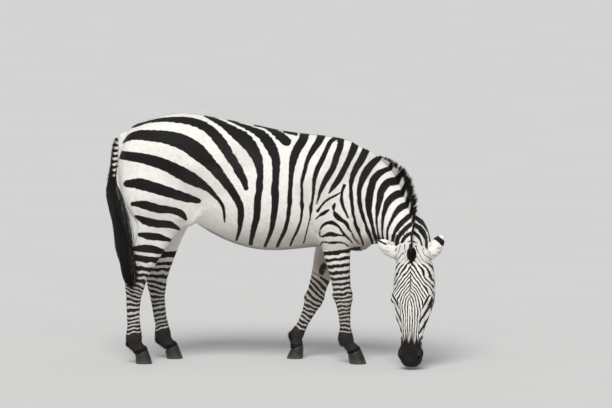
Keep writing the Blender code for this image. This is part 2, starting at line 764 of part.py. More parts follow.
def build():
    clear_scene()
    body = whole_body()
    eyes = {f"eye_{side}": make_eye(side, sign) for side, sign in (("right", -1), ("left", 1))}
    for name, eye in eyes.items():
        cut_away(body, swollen(f"{name}_socket", eye, SEAT_GAP))
    mane = cut_away(make_mane(), swollen("crest", body, SEAT_GAP))
    forelock = cut_away(make_forelock(), swollen("brow", body, SEAT_GAP))
    cut_away(mane, swollen("brow_hair", forelock, SEAT_GAP))
    dock = cut_away(make_tail("tail_dock", 0, SWITCH_STARTS, 12), swollen("rump", body, SEAT_GAP))
    switch = make_tail("tail_switch", SWITCH_STARTS, len(TAIL) - 1, 15)
    for other, near in ((body, "thigh"), (dock, "dock_end")):
        cut_away(switch, swollen(near, other, SEAT_GAP))
    ears = {}
    for side, sign in (("right", -1), ("left", 1)):
        ear = make_ear(side, sign, EAR_TIPS[side])
        for other, near in ((body, "poll"), (mane, "hair"), (forelock, "tuft")):
            cut_away(ear, swollen(f"{near}_{side}", other, SEAT_GAP))
        ears[f"ear_{side}"] = ear
    parts = parted(body)
    parts.update(mane=mane, forelock=forelock, tail_dock=dock, tail_switch=switch, **ears, **eyes)
    for leg in LEGS:
        parts[f"hoof_{leg}"] = make_hoof(leg)
    finish(parts)


build()
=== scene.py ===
import math

import bpy
import numpy as np
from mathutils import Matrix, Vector
from mathutils.bvhtree import BVHTree


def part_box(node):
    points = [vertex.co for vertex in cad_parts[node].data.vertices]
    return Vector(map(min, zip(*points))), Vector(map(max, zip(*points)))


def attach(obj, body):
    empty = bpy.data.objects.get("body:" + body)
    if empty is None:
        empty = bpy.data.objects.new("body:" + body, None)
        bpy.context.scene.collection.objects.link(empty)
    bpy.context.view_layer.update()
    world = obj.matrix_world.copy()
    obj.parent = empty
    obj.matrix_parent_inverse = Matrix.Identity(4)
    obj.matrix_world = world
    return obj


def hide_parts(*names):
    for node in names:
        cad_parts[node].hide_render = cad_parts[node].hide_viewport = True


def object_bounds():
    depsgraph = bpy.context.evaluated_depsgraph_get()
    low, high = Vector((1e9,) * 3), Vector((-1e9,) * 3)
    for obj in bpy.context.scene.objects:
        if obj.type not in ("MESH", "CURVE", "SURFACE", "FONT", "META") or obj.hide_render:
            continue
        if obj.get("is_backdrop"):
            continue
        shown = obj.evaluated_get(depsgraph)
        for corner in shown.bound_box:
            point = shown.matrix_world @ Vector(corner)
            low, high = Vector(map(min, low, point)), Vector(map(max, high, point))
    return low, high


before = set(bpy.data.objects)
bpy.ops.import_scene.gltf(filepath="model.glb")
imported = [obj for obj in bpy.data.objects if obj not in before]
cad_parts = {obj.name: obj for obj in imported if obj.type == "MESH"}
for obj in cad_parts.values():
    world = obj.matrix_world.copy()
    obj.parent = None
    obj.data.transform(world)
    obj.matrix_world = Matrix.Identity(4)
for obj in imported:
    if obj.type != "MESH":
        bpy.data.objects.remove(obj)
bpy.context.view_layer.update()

# ---- the studio -------------------------------------------------------------------------------
# A plain pale floor that runs on past the view, a broad soft light from above the viewer's left
# shoulder, and a pale room. The camera stands far off at about a rider's height, with a long lens.

MID_Y = sum(corner.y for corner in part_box("trunk")) / 2  # the plane that parts the trunk in two
ZERO = Vector((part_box("trunk")[0].x + 0.8254, MID_Y, 0))  # where the body's own lengths start
ORIGIN = np.array(ZERO)

CAMERA_TILT = math.radians(5)
CAMERA_FAR = 22.0
CAMERA_AIM = ZERO + Vector((0.1658, 0, 0.832))
VIEW_WIDTH = 3.221  # metres across the picture at the zebra
SENSOR = 36.0
FLOOR_RADIUS = 160.0


def linear(hex_colour):
    """An sRGB hex colour as linear light, with alpha."""
    parts = [int(hex_colour[k : k + 2], 16) / 255 for k in (0, 2, 4)]
    return (*(c / 12.92 if c <= 0.04045 else ((c + 0.055) / 1.055) ** 2.4 for c in parts), 1.0)


def add_node(tree, kind, settings, inputs, output):
    """One output of a new shader node with its settings, whose inputs are values or other nodes' outputs."""
    node = tree.nodes.new("ShaderNode" + kind)
    for key, value in (settings or {}).items():
        setattr(node, key, value)
    for key, value in (inputs or {}).items():
        if isinstance(value, bpy.types.NodeSocket):
            tree.links.new(value, node.inputs[key])
        else:
            node.inputs[key].default_value = value
    return node.outputs[output]


BLEND = {"data_type": "RGBA"}  # makes a Mix node mix colours


def new_material(name):
    """An empty node material and its Principled shader."""
    made = bpy.data.materials.new(name)
    made.use_nodes = True
    return made, made.node_tree, made.node_tree.nodes["Principled BSDF"]


bpy.ops.object.select_all(action="DESELECT")
bpy.ops.mesh.primitive_circle_add(vertices=96, radius=FLOOR_RADIUS, fill_type="NGON")
floor = bpy.context.object
floor.name = "floor"
# Studio paper: a matt pale grey sheet, a little uneven in tone over each metre.
paper, tree, shader = new_material("studio_paper")
place = add_node(tree, "TexCoord", {}, {}, "Object")
grain = add_node(tree, "TexNoise", {}, {"Vector": place, "Scale": 0.9, "Detail": 3.0}, "Fac")
tint = add_node(tree, "Mix", BLEND, {"Factor": grain, "A": linear("C9C8C5"), "B": linear("CFCECB")}, "Result")
tree.links.new(tint, shader.inputs["Base Color"])
shader.inputs["Roughness"].default_value = 0.9
floor.data.materials.append(paper)
floor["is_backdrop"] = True

world = bpy.data.worlds.new("studio")
bpy.context.scene.world = world
world.use_nodes = True
world.node_tree.nodes["Background"].inputs["Color"].default_value = linear("E6E9EE")
world.node_tree.nodes["Background"].inputs["Strength"].default_value = 0.54

for name, strength, angle, turn in (
    ("key", 2.5, 30, (38, -16, 8)),
    ("fill", 0.42, 70, (62, 30, -20)),
):
    lamp = bpy.data.lights.new(name, "SUN")
    lamp.energy = strength
    lamp.angle = math.radians(angle)
    light = bpy.data.objects.new(name, lamp)
    light.rotation_euler = [math.radians(a) for a in turn]
    bpy.context.scene.collection.objects.link(light)

lens = bpy.data.cameras.new("camera")
lens.sensor_width = SENSOR
lens.lens = SENSOR * CAMERA_FAR / VIEW_WIDTH
lens.clip_end = 400.0
camera = bpy.data.objects.new("camera", lens)
camera.rotation_euler = (math.pi / 2 - CAMERA_TILT, 0, 0)
towards = Vector((0, -math.cos(CAMERA_TILT), math.sin(CAMERA_TILT)))
camera.location = CAMERA_AIM + towards * CAMERA_FAR
bpy.context.scene.collection.objects.link(camera)
bpy.context.scene.camera = camera
bpy.context.scene.view_settings.view_transform = "Standard"

# ---- the skin ---------------------------------------------------------------------------------
# One closed hide over trunk, neck, head, ears, legs and tail dock. It is the flesh nodes' own
# form, joined, smoothed over its muscles and drawn in by the depth of the coat; then the folds,
# lids, nostrils, lips and sinews are pressed into it.

GRAIN = 0.0043  # the voxel in which the nodes are fused
WELD = 0.00005
SKIN_TRIANGLES = 197_000
SEAT_DEPTH = 0.009  # ears and dock are sunk by this, so that they fuse
LID = 0.0035
EAR_TIPS = np.array(((0.878, -0.280, 0.696), (0.540, -0.290, 0.668)))  # left, right
FLESH = [node for node in sorted(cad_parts) if node.startswith(("trunk", "neck", "head", "ear", "leg"))]
FLESH.append("tail_dock")

HEAD_YAW = math.radians(13)
HEAD_TILT = math.radians(6)
POLL = ZERO + Vector((0.714, -0.345, 0.612))
FACING = Vector((-math.sin(HEAD_YAW), -math.cos(HEAD_YAW), 0))
UP = Vector((0, 0, 1))
DOWN = FACING * math.sin(HEAD_TILT) - UP * math.cos(HEAD_TILT)  # along the face to the muzzle
OUT = FACING * math.cos(HEAD_TILT) + UP * math.sin(HEAD_TILT)  # out of the forehead
LEFT = OUT.cross(DOWN)  # to the zebra's left
HEAD_AXES = np.array((DOWN, LEFT, OUT))
HEAD_AT = np.array(POLL)

EAR_ROOTS = [np.array(POLL - ZERO + DOWN * 0.040 + LEFT * 0.064 * side - OUT * 0.058) for side in (1, -1)]
EYE_RADIUS = 0.0205
EYE_PLACE = (0.248, 0.0900, -0.040)  # down the face, aside, behind the forehead line
EYE_HALF = 0.0185  # half the length of the opening between the lids

# the four legs: distance from the mid plane, then the joints (x, z) from inside the trunk down
LEGS = {
    "fore_right": (-0.115, [(0.295, 0.80), (0.318, 0.655), (0.360, 0.352), (0.378, 0.146), (0.420, 0.064)]),
    "fore_left": (0.115, [(0.300, 0.80), (0.300, 0.640), (0.208, 0.318), (0.122, 0.128), (0.118, 0.064)]),
    "hind_right": (-0.11, [(-0.600, 0.95), (-0.592, 0.79), (-0.728, 0.42), (-0.733, 0.136), (-0.698, 0.062)]),
    "hind_left": (0.110, [(-0.590, 0.95), (-0.560, 0.78), (-0.622, 0.405), (-0.588, 0.128), (-0.548, 0.062)]),
}


def fade(value, low, high):
    """0 at low and before, 1 at high and after, and smooth between."""
    t = np.clip((value - low) / (high - low), 0, 1)
    return t * t * (3 - 2 * t)


def bell(value, width):
    """1 where the value is 0, falling away on both sides within about the width."""
    return np.exp(-((value / width) ** 2))


def on_head(points):
    """Down the face, to the zebra's left, and out of the forehead, for each point."""
    return (points - HEAD_AT) @ HEAD_AXES.T


def head_share(points):
    """1 on the head and 0 behind the cut at the poll."""
    a, _, c = on_head(points).T
    beyond = (a - 0.040) * 0.80 + (c + 0.130) * 0.60
    return fade(beyond, -0.004, 0.012) * (points[:, 0] > ZERO.x + 0.52)


def read_points(mesh):
    points = np.empty(len(mesh.vertices) * 3, np.float32)
    mesh.vertices.foreach_get("co", points)
    return points.reshape(-1, 3).astype(float)


def write_points(mesh, points):
    mesh.vertices.foreach_set("co", points.astype(np.float32).ravel())
    mesh.update()


def read_normals(mesh):
    normals = np.empty(len(mesh.vertices) * 3, np.float32)
    mesh.vertices.foreach_get("normal", normals)
    return normals.reshape(-1, 3).astype(float)


def only(thing):
    """Selects one object and makes it the active one."""
    bpy.ops.object.select_all(action="DESELECT")
    thing.select_set(True)
    bpy.context.view_layer.objects.active = thing


def weights(thing, name, values):
    """A vertex group with a weight for each vertex, in sixteen steps."""
    group = thing.vertex_groups.new(name=name)
    steps = np.round(np.clip(values, 0, 1) * 16).astype(int)
    for step in range(1, 17):
        group.add(np.flatnonzero(steps == step).tolist(), step / 16, "REPLACE")
    return group


def apply_all(thing):
    only(thing)
    for modifier in list(thing.modifiers):
        bpy.ops.object.modifier_apply(modifier=modifier.name)


def evened(mesh, values, rounds):
    """Values spread over the mesh's edges, to take out their small steps."""
    edges = np.empty(len(mesh.edges) * 2, np.int32)
    mesh.edges.foreach_get("vertices", edges)
    a, b = edges.reshape(-1, 2).T
    count = len(values)
    degree = np.bincount(a, minlength=count) + np.bincount(b, minlength=count)
    for _ in range(rounds):
        total = np.bincount(a, values[b], count) + np.bincount(b, values[a], count)
        values = values * 0.5 + total / degree * 0.5
    return values


def edit_all(thing, *steps):
    """Runs edit mode steps, each with its settings, on the whole of one mesh."""
    only(thing)
    bpy.ops.object.mode_set(mode="EDIT")
    bpy.ops.mesh.select_all(action="SELECT")
    for step, settings in steps:
        step(**settings)
    bpy.ops.object.mode_set(mode="OBJECT")


def welded_copy(node, name):
    """A copy of a CAD node's form, whose loose triangles are joined."""
    copy = bpy.data.objects.new(name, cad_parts[node].data.copy())
    bpy.context.scene.collection.objects.link(copy)
    copy.data.materials.clear()
    edit_all(copy, (bpy.ops.mesh.remove_doubles, {"threshold": WELD}))
    return copy


hides = [welded_copy(node, f"hide_{node}") for node in FLESH]
now = bpy.context.evaluated_depsgraph_get()
TREES = {node: BVHTree.FromObject(hide, now) for node, hide in zip(FLESH, hides)}
for node, below in (("ear_left", "head"), ("ear_right", "head"), ("tail_dock", "trunk")):
    for vertex in hides[FLESH.index(node)].data.vertices:
        _, normal, _, _ = TREES[below].find_nearest(vertex.co, 0.0016)
        if normal is not None:
            vertex.co -= normal * SEAT_DEPTH


def ear_share(points):
    """1 on the ears, 0 on the head and neck, and a short fade between them."""
    share = np.zeros(len(points))
    for node in ("ear_left", "ear_right"):
        low, high = (np.array(corner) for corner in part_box(node))
        near = np.flatnonzero(np.all((points > low - 0.02) & (points < high + 0.02), axis=1))
        for k in near:
            point = Vector(points[k])
            to_ear = TREES[node].find_nearest(point)[3]
            to_rest = min(TREES["head"].find_nearest(point)[3], TREES["neck"].find_nearest(point)[3])
            share[k] = to_rest - to_ear
    return fade(share, -0.002, 0.008)


def ear_along(points):
    """0 at the root of an ear and 1 at its tip."""
    places = points - ORIGIN
    left = on_head(points)[:, 1] > 0
    root = np.where(left[:, None], EAR_ROOTS[0], EAR_ROOTS[1])
    way = np.where(left[:, None], EAR_TIPS[0], EAR_TIPS[1]) - root
    return np.sum((places - root) * way, axis=1) / np.sum(way * way, axis=1)


# the eyeball under its lids swells the socket, which the lids then close over
for side in (1, -1):
    centre = Vector(POLL) + DOWN * EYE_PLACE[0] + LEFT * EYE_PLACE[1] * side + OUT * EYE_PLACE[2]
    bpy.ops.object.select_all(action="DESELECT")
    bpy.ops.mesh.primitive_uv_sphere_add(segments=48, ring_count=24, radius=EYE_RADIUS + LID, location=centre)
    bpy.ops.object.transform_apply(location=True)
    hides.append(bpy.context.object)

bpy.ops.object.select_all(action="DESELECT")
for hide in hides:
    hide.select_set(True)
bpy.context.view_layer.objects.active = hides[0]
bpy.ops.object.join()
skin = bpy.context.object
skin.name = "skin"
flesh_tree = BVHTree.FromObject(skin, bpy.context.evaluated_depsgraph_get())

fuse = skin.modifiers.new("fuse", "REMESH")
fuse.mode = "VOXEL"
fuse.voxel_size = GRAIN
apply_all(skin)

points = read_points(skin.data)
in_head = head_share(points)
in_ear = ear_share(points)
low_leg = 1 - fade(points[:, 2], 0.46, 0.62)
low_leg *= points[:, 0] < ZERO.x + 0.52
dock = fade(-points[:, 0], 0.815 - ZERO.x, 0.835 - ZERO.x) * (points[:, 2] > 0.9)
broad = (1 - in_head * 0.75) * (1 - in_ear * 0.9) * (1 - low_leg * 0.72) * (1 - dock * 0.8)
weights(skin, "broad", broad)
for name, rounds, group in (("settle", 3, ""), ("spread", 46, "broad")):
    smooth = skin.modifiers.new(name, "SMOOTH")
    smooth.factor = 0.5
    smooth.iterations = rounds
    smooth.vertex_group = group
apply_all(skin)
skin.vertex_groups.clear()

# how far the smoothing drew each place in is given back, evenly, less the depth of the coat
points = read_points(skin.data)
normals = read_normals(skin.data)
drawn = np.zeros(len(points))
for k, (point, normal) in enumerate(zip(points, normals)):
    near, _, _, _ = flesh_tree.find_nearest(Vector(point), 0.03)
    if near is not None:
        drawn[k] = (near - Vector(point)).dot(Vector(normal))
drawn = evened(skin.data, np.clip(drawn, -0.012, 0.012), 24)
coat_depth = 0.0040 - 0.0022 * in_head - 0.0018 * low_leg
coat_depth = np.where(in_ear > 0.5, 0.0008, coat_depth)
points += normals * (drawn - coat_depth)[:, None]
write_points(skin.data, points)


def through(keys, rows, at):
    """Smooth values at the places in at, on a curve through rows of numbers given at keys."""
    keys = np.array(keys, float)
    rows = np.array(rows, float).reshape(len(keys), -1)
    slopes = np.gradient(rows, keys, axis=0)
    at = np.asarray(at, float)
    i = np.clip(np.searchsorted(keys, at, "right") - 1, 0, len(keys) - 2)
    span = (keys[i + 1] - keys[i])[:, None]
    t = (at - keys[i])[:, None] / span
    rise = rows[i + 1] - rows[i]
    a = slopes[i] * span - rise
    b = rise - slopes[i + 1] * span
    return rows[i] * (1 - t) + rows[i + 1] * t + t * (1 - t) * (a * (1 - t) + b * t)


def unit(v):
    return v / np.linalg.norm(v, axis=-1, keepdims=True)


def wander(points, size, seed):
    """A slow smooth noise between about -1 and 1, in waves of that size."""
    draw = np.random.default_rng(seed)
    total = np.zeros(len(points))
    for _ in range(5):
        way = unit(draw.normal(size=3)) * (2 * math.pi / size) * draw.uniform(0.6, 1.5)
        total += np.sin(points @ way + draw.uniform(0, 7))
    return total / 3


def leg_line(points, leg):
    """For each point, the leg's own height on its centre line, and how far the point is from it."""
    y, joints = LEGS[leg]
    z = points[:, 2]
    heights = [j[1] for j in joints][::-1]
    places = [j[0] for j in joints][::-1]
    lean = np.gradient(np.array(places), np.array(heights))
    x = np.interp(z, heights, places) + ZERO.x
    slope = np.interp(z, heights, lean)
    up = z + (points[:, 0] - x) * slope * 0.8
    return up, points[:, 0] - x, points[:, 1] - MID_Y - y


def refine(thing, chosen):
    """Splits the faces whose vertices are chosen into four."""
    only(thing)
    bpy.ops.object.mode_set(mode="EDIT")
    bpy.ops.mesh.select_mode(type="VERT")
    bpy.ops.mesh.select_all(action="DESELECT")
    bpy.ops.object.mode_set(mode="OBJECT")
    thing.data.vertices.foreach_set("select", chosen)
    bpy.ops.object.mode_set(mode="EDIT")
    bpy.ops.mesh.select_mode(type="FACE")
    bpy.ops.mesh.subdivide(number_cuts=1, smoothness=0.0)
    bpy.ops.object.mode_set(mode="OBJECT")


def near_eyes(points, reach):
    a, b, c = on_head(points).T
    gap = np.sqrt((a - EYE_PLACE[0]) ** 2 + (np.abs(b) - EYE_PLACE[1]) ** 2 + (c - EYE_PLACE[2]) ** 2)
    return gap < reach


points = read_points(skin.data)
refine(skin, head_share(points) > 0.3)
points = read_points(skin.data)
a, b, c = on_head(points).T
refine(skin, near_eyes(points, 0.042) | ((head_share(points) > 0.5) & (a > 0.475)))
points = read_points(skin.data)
soft = skin.modifiers.new("soft", "SMOOTH")
soft.factor = 0.5
soft.iterations = 5
weights(skin, "face", head_share(points))
soft.vertex_group = "face"
apply_all(skin)
skin.vertex_groups.clear()

# Lines of the face, as places down, aside and out: how far each swells, and how broad it is.
FACE_LINES = [
    ("facial_crest", [(0.292, 0.092, -0.052), (0.335, 0.083, -0.050), (0.385, 0.068, -0.047)], 0.0040, 0.007),
    ("below_crest", [(0.300, 0.095, -0.080), (0.345, 0.080, -0.076), (0.395, 0.064, -0.068)], -0.0025, 0.011),
    ("nose_bone", [(0.270, 0.040, 0.008), (0.360, 0.032, 0.004), (0.455, 0.026, -0.006)], 0.0022, 0.008),
    ("nose_hollow", [(0.330, 0.058, -0.014), (0.400, 0.048, -0.018), (0.470, 0.044, -0.026)], -0.0030, 0.010),
    ("temple", [(0.165, 0.072, -0.012), (0.192, 0.078, -0.018)], -0.0050, 0.014),
    ("brow", [(0.222, 0.085, -0.010), (0.236, 0.094, -0.016), (0.256, 0.096, -0.016)], 0.0035, 0.008),
    ("jaw_edge", [(0.130, 0.060, -0.205), (0.200, 0.056, -0.222), (0.262, 0.052, -0.205)], 0.0030, 0.010),
    ("cheek_front", [(0.205, 0.100, -0.100), (0.262, 0.090, -0.120), (0.292, 0.070, -0.160)], -0.0028, 0.008),
    ("cheek_vein", [(0.290, 0.090, -0.066), (0.318, 0.080, -0.092), (0.325, 0.068, -0.125)], 0.0011, 0.0032),
    ("jaw_groove", [(0.040, 0.088, -0.120), (0.100, 0.100, -0.150), (0.160, 0.096, -0.205)], -0.0030, 0.010),
    ("lip_fold", [(0.500, 0.060, -0.072), (0.515, 0.058, -0.086), (0.522, 0.052, -0.100)], -0.0018, 0.004),
    ("chin_groove", [(0.512, 0.042, -0.102), (0.516, 0.020, -0.110), (0.517, 0.000, -0.112)], -0.0022, 0.006),
    ("nose_wrinkle", [(0.497, 0.050, -0.030), (0.510, 0.054, -0.045), (0.522, 0.058, -0.06)], -0.0012, 0.003),
]
MOUTH = [
    (0.606, 0.000, -0.074), (0.601, 0.020, -0.075), (0.585, 0.040, -0.078), (0.555, 0.054, -0.083),
    (0.522, 0.058, -0.089),
]
NOSTRIL = [(0.506, 0.051, -0.034), (0.518, 0.053, -0.031), (0.532, 0.048, -0.027), (0.543, 0.040, -0.026)]
NOSTRIL_WIDTHS = (0.0026, 0.0048, 0.0076, 0.0066)


LINE_PLACES = 40  # how many places stand for a line on the hide


def on_hide(line, axes, middle):
    """Places along a smooth line, each laid on the hide, in the same axes as the line's own."""
    line = np.array(line, float)
    steps = np.linalg.norm(np.diff(line, axis=0), axis=1)
    keys = np.concatenate([[0], np.cumsum(steps)])
    dense = through(keys, line, np.linspace(0, keys[-1], LINE_PLACES)) @ axes + np.array(middle)
    laid_down = np.array([plain_hide.find_nearest(Vector(place))[0] for place in dense])
    return (laid_down - np.array(middle)) @ axes.T


def to_line(points, dense, reach=0.05):
    """Each point's distance to a line on the hide, and the share of the way along; far is reach."""
    gap = np.full(len(points), reach)
    along = np.zeros(len(points))
    low = dense.min(axis=0) - reach
    high = dense.max(axis=0) + reach
    near = np.flatnonzero(np.all((points > low) & (points < high), axis=1))
    if len(near) == 0:
        return gap, along
    for k in range(LINE_PLACES - 1):
        start, way = dense[k], dense[k + 1] - dense[k]
        t = np.clip((points[near] - start) @ way / (way @ way), 0, 1)
        away = np.linalg.norm(points[near] - start - t[:, None] * way, axis=1)
        closer = away < gap[near]
        gap[near[closer]] = away[closer]
        along[near[closer]] = (k + t[closer]) / (LINE_PLACES - 1)
    return gap, along


def swell(points, lines, axes, middle):
    """The sum of the swellings and hollows along the lines, tapered to their ends."""
    total = np.zeros(len(points))
    for _, line, height, broad in lines:
        gap, along = to_line(points, on_hide(line, axes, middle), broad * 3)
        ends = 0.35 + 0.65 * fade(along, 0.0, 0.25) * fade(1 - along, 0.0, 0.25)
        total += height * ends * bell(gap, broad) * (gap < broad * 3)
    return total


EYE_OUT = unit(np.array((0.10, 0.89, 0.40)))  # out of the left eye, then to its tear duct, then to its brow
EYE_DUCT = np.array((0.93, 0.0, 0.36))
EYE_DUCT = unit(EYE_DUCT - EYE_OUT * (EYE_DUCT @ EYE_OUT))
EYE_BROW = np.cross(EYE_OUT, EYE_DUCT)
EYE_BROW *= math.copysign(1, EYE_BROW[2])


def eye_frame(points):
    """Places round the eye: towards the tear duct, up over the brow, and out, in both eyes' own frames."""
    from_eye = on_head(points)
    from_eye[:, 1] = np.abs(from_eye[:, 1])
    from_eye -= EYE_PLACE
    return from_eye @ EYE_DUCT, from_eye @ EYE_BROW, from_eye @ EYE_OUT


def lid_edges(u):
    """The height of the upper and the lower lid's edge at each place along the eye."""
    span = np.clip(1 - (u / EYE_HALF) ** 2, 0, 1)
    return 0.0112 * span**0.72 + 0.0012, 0.0012 - 0.0086 * span**0.85


points = read_points(skin.data)
normals = read_normals(skin.data)
plain_hide = BVHTree.FromObject(skin, bpy.context.evaluated_depsgraph_get())
a, b, c = on_head(points).T
folded = np.stack([a, np.abs(b), c], axis=1)
in_head = head_share(points)
face = in_head > 0.5
push = np.zeros(len(points))
push[face] = swell(folded[face], FACE_LINES, HEAD_AXES, POLL)

gap, along = to_line(folded, on_hide(MOUTH, HEAD_AXES, POLL), 0.02)
mouth = np.where(face, bell(gap, 0.0017), 0)
push -= 0.0050 * mouth * fade(1.02 - along, 0, 0.12)
push += np.where(face, 0.0016 * bell(gap - 0.0062, 0.0036), 0)
nostril_line = on_hide(NOSTRIL, HEAD_AXES, POLL)
gap, along = to_line(folded, nostril_line, 0.025)
gap = gap - np.interp(along, np.linspace(0, 1, 4), NOSTRIL_WIDTHS)
push -= np.where(face, 0.0125 * fade(-gap, -0.0006, 0.0034), 0)
flare = 0.6 + 0.4 * fade(folded[:, 1], 0.04, 0.06)
push += np.where(face, 0.0028 * bell(gap - 0.0034, 0.0026) * flare, 0)
push[face] += 0.0004 * wander(points[face], 0.012, 41) * fade(a[face], 0.45, 0.52)
points += normals * push[:, None]

u, v, w = eye_frame(points)
upper, lower = lid_edges(u)
opening = np.minimum(upper - v, v - lower)
opening = np.where(np.abs(u) < EYE_HALF, opening, -np.hypot(np.abs(u) - EYE_HALF, v - 0.0012))
at_eye = near_eyes(points, 0.045) & (w > 0) & face
crease = 0.0022 * bell(v - upper - 0.0128, 0.0036) - 0.0026 * bell(v - upper - 0.0072, 0.0020)
crease -= 0.0012 * bell(lower - v - 0.0058, 0.0018) + 0.0009 * bell(lower - v - 0.0105, 0.0022)
crease *= fade(0.030 - np.abs(u), 0, 0.010)
rim = 0.0010 * bell(opening + 0.0016, 0.0011)
normals = read_normals(skin.data)
points += normals * np.where(at_eye, crease + rim, 0)[:, None]
centres = HEAD_AT + np.where(b[:, None] > 0, EYE_PLACE, np.array(EYE_PLACE) * (1, -1, 1)) @ HEAD_AXES
spoke = points - centres
far = np.linalg.norm(spoke, axis=1)
lid_edge = np.where(at_eye, fade(opening, -0.0030, -0.0004), 0)
snug = far + (EYE_RADIUS + 0.0016 - far) * lid_edge
sunk = np.where(at_eye, fade(opening, -0.0003, 0.0008), 0)
snug = snug + (EYE_RADIUS - 0.0040 - snug) * sunk
points = centres + spoke * (snug / far)[:, None]
write_points(skin.data, points)

# Sinews, bones and folds of the body: places ahead, aside and up, how far each swells, how broad it is.
BODY_LINES = [
    ("hip_bone", [(-0.395, 0.150, 1.222), (-0.372, 0.185, 1.165)], 0.0070, 0.026),
    ("flank_hollow", [(-0.335, 0.190, 1.080), (-0.300, 0.215, 1.010)], -0.0090, 0.045),
    ("flank_fold", [(-0.470, 0.175, 0.700), (-0.400, 0.185, 0.760), (-0.345, 0.205, 0.860)], 0.0060, 0.018),
    ("stifle", [(-0.500, 0.175, 0.800), (-0.480, 0.180, 0.760)], 0.0060, 0.028),
    ("thigh_groove", [(-0.700, 0.130, 1.060), (-0.715, 0.150, 0.900), (-0.700, 0.150, 0.740)], -0.005, 0.016),
    ("last_rib", [(-0.200, 0.235, 1.020), (-0.180, 0.250, 0.880), (-0.130, 0.215, 0.720)], 0.0020, 0.018),
    ("blade_ridge", [(0.205, 0.110, 1.130), (0.275, 0.150, 1.000), (0.345, 0.170, 0.870)], 0.0038, 0.016),
    ("blade_rear", [(0.130, 0.140, 1.100), (0.170, 0.195, 0.960), (0.190, 0.215, 0.850)], -0.0040, 0.020),
    ("shoulder_point", [(0.405, 0.150, 0.810), (0.400, 0.160, 0.780)], 0.0060, 0.026),
    ("triceps_edge", [(0.235, 0.200, 0.800), (0.245, 0.190, 0.740), (0.268, 0.175, 0.690)], 0.0045, 0.018),
    ("elbow_groove", [(0.185, 0.200, 0.760), (0.205, 0.185, 0.700), (0.240, 0.160, 0.650)], -0.0055, 0.014),
    ("arm_groove", [(0.345, 0.175, 0.800), (0.330, 0.170, 0.730), (0.345, 0.160, 0.660)], -0.0040, 0.012),
    ("breast_groove", [(0.470, 0.000, 0.780), (0.450, 0.000, 0.680), (0.400, 0.000, 0.610)], -0.0060, 0.014),
]
points = read_points(skin.data)
normals = read_normals(skin.data)
here = points - ORIGIN
here[:, 1] = np.abs(here[:, 1])
body = here[:, 0] < 0.52
push = np.zeros(len(points))
push[body] = swell(here[body], BODY_LINES, np.eye(3), ZERO)
for leg, (y, joints) in LEGS.items():
    up, ahead, aside = leg_line(points, leg)
    near = (np.abs(aside) < 0.10) & (np.abs(ahead) < 0.13) & (up < 0.62) & (here[:, 0] < 0.5)
    flank = near * np.abs(normals[:, 1]) ** 2
    inner = near * fade(-normals[:, 1] * math.copysign(1, y), 0.3, 0.8)
    front = near * np.clip(normals[:, 0], 0, 1) ** 2
    back = near * np.clip(-normals[:, 0], 0, 1) ** 2
    hind = leg.startswith("hind")
    knee = 0.405 if leg == "hind_left" else 0.42 if hind else 0.318 if leg == "fore_left" else 0.352
    cannon = fade(up, 0.150, 0.185) * fade(knee - 0.035 - up, 0.0, 0.04)
    push -= 0.0034 * flank * cannon * bell(ahead + 0.008, 0.0050)
    push += 0.0015 * flank * cannon * bell(ahead + 0.018, 0.0050)
    push += 0.0030 * flank * bell(up - 0.140, 0.014) * bell(ahead + 0.016, 0.012)
    push += 0.0040 * back * bell(up - 0.128, 0.012)
    push -= 0.0026 * near * bell(up - 0.108, 0.008) * (normals[:, 2] < 0.7)
    push += 0.0022 * near * bell(up - 0.078, 0.006) * (normals[:, 2] < 0.7)
    if hind:
        push -= 0.0075 * flank * bell(up - knee - 0.075, 0.045) * bell(ahead + 0.022, 0.011)
        push += 0.0042 * back * bell(up - knee - 0.018, 0.018)
        push += 0.0030 * flank * bell(up - knee + 0.010, 0.014) * bell(ahead - 0.006, 0.014)
        push -= 0.0022 * flank * bell(up - knee + 0.034, 0.008)
        push -= 0.0030 * front * bell(up - knee - 0.020, 0.016)
    else:
        push += 0.0032 * front * bell(up - knee - 0.016, 0.012)
        push += 0.0026 * front * bell(up - knee + 0.018, 0.010)
        push -= 0.0016 * near * bell(up - knee + 0.001, 0.005)
        push += 0.0048 * back * bell(up - knee - 0.012, 0.013)
        push += 0.0026 * flank * bell(up - knee - 0.030, 0.012) * bell(ahead - 0.004, 0.014)
        forearm = fade(up, knee + 0.05, knee + 0.09) * (up < 0.60)
        push -= 0.0030 * flank * forearm * bell(ahead + 0.004, 0.006)
        callus = bell(((up - 0.480) / 0.026) ** 2 + (ahead / 0.013) ** 2, 1)
        push += 0.0022 * inner * callus
points += normals * push[:, None]
write_points(skin.data, points)

# Thinning takes flat places first, which would starve the stripes there, so the surface is roughened
# while it is thinned, and then laid back on the form.
points = read_points(skin.data)
shaped = BVHTree.FromObject(skin, bpy.context.evaluated_depsgraph_get())
on_leg = fade(0.60 - points[:, 2], 0, 0.06) * (points[:, 0] < ZERO.x + 0.5)
rough = np.random.default_rng(8).uniform(-1, 1, len(points)) * 0.0012 * (1 - in_head)
write_points(skin.data, points + read_normals(skin.data) * rough[:, None])
ahead, _, above_floor = (points - ORIGIN).T
at_shoulder = fade(ahead, 0.14, 0.20) * fade(0.62 - ahead, 0, 0.06) * fade(above_floor, 0.56, 0.60)
at_shoulder *= fade(0.96 - above_floor, 0, 0.06)
weights(skin, "keep", 1 - np.maximum(0.83 * in_head, np.maximum(0.40 * on_leg, 0.40 * at_shoulder)))
thin = skin.modifiers.new("thin", "DECIMATE")
thin.vertex_group = "keep"
thin.vertex_group_factor = 0.005
thin.use_collapse_triangulate = True
thin.ratio = SKIN_TRIANGLES / sum(len(face.vertices) - 2 for face in skin.data.polygons)
apply_all(skin)
skin.vertex_groups.clear()
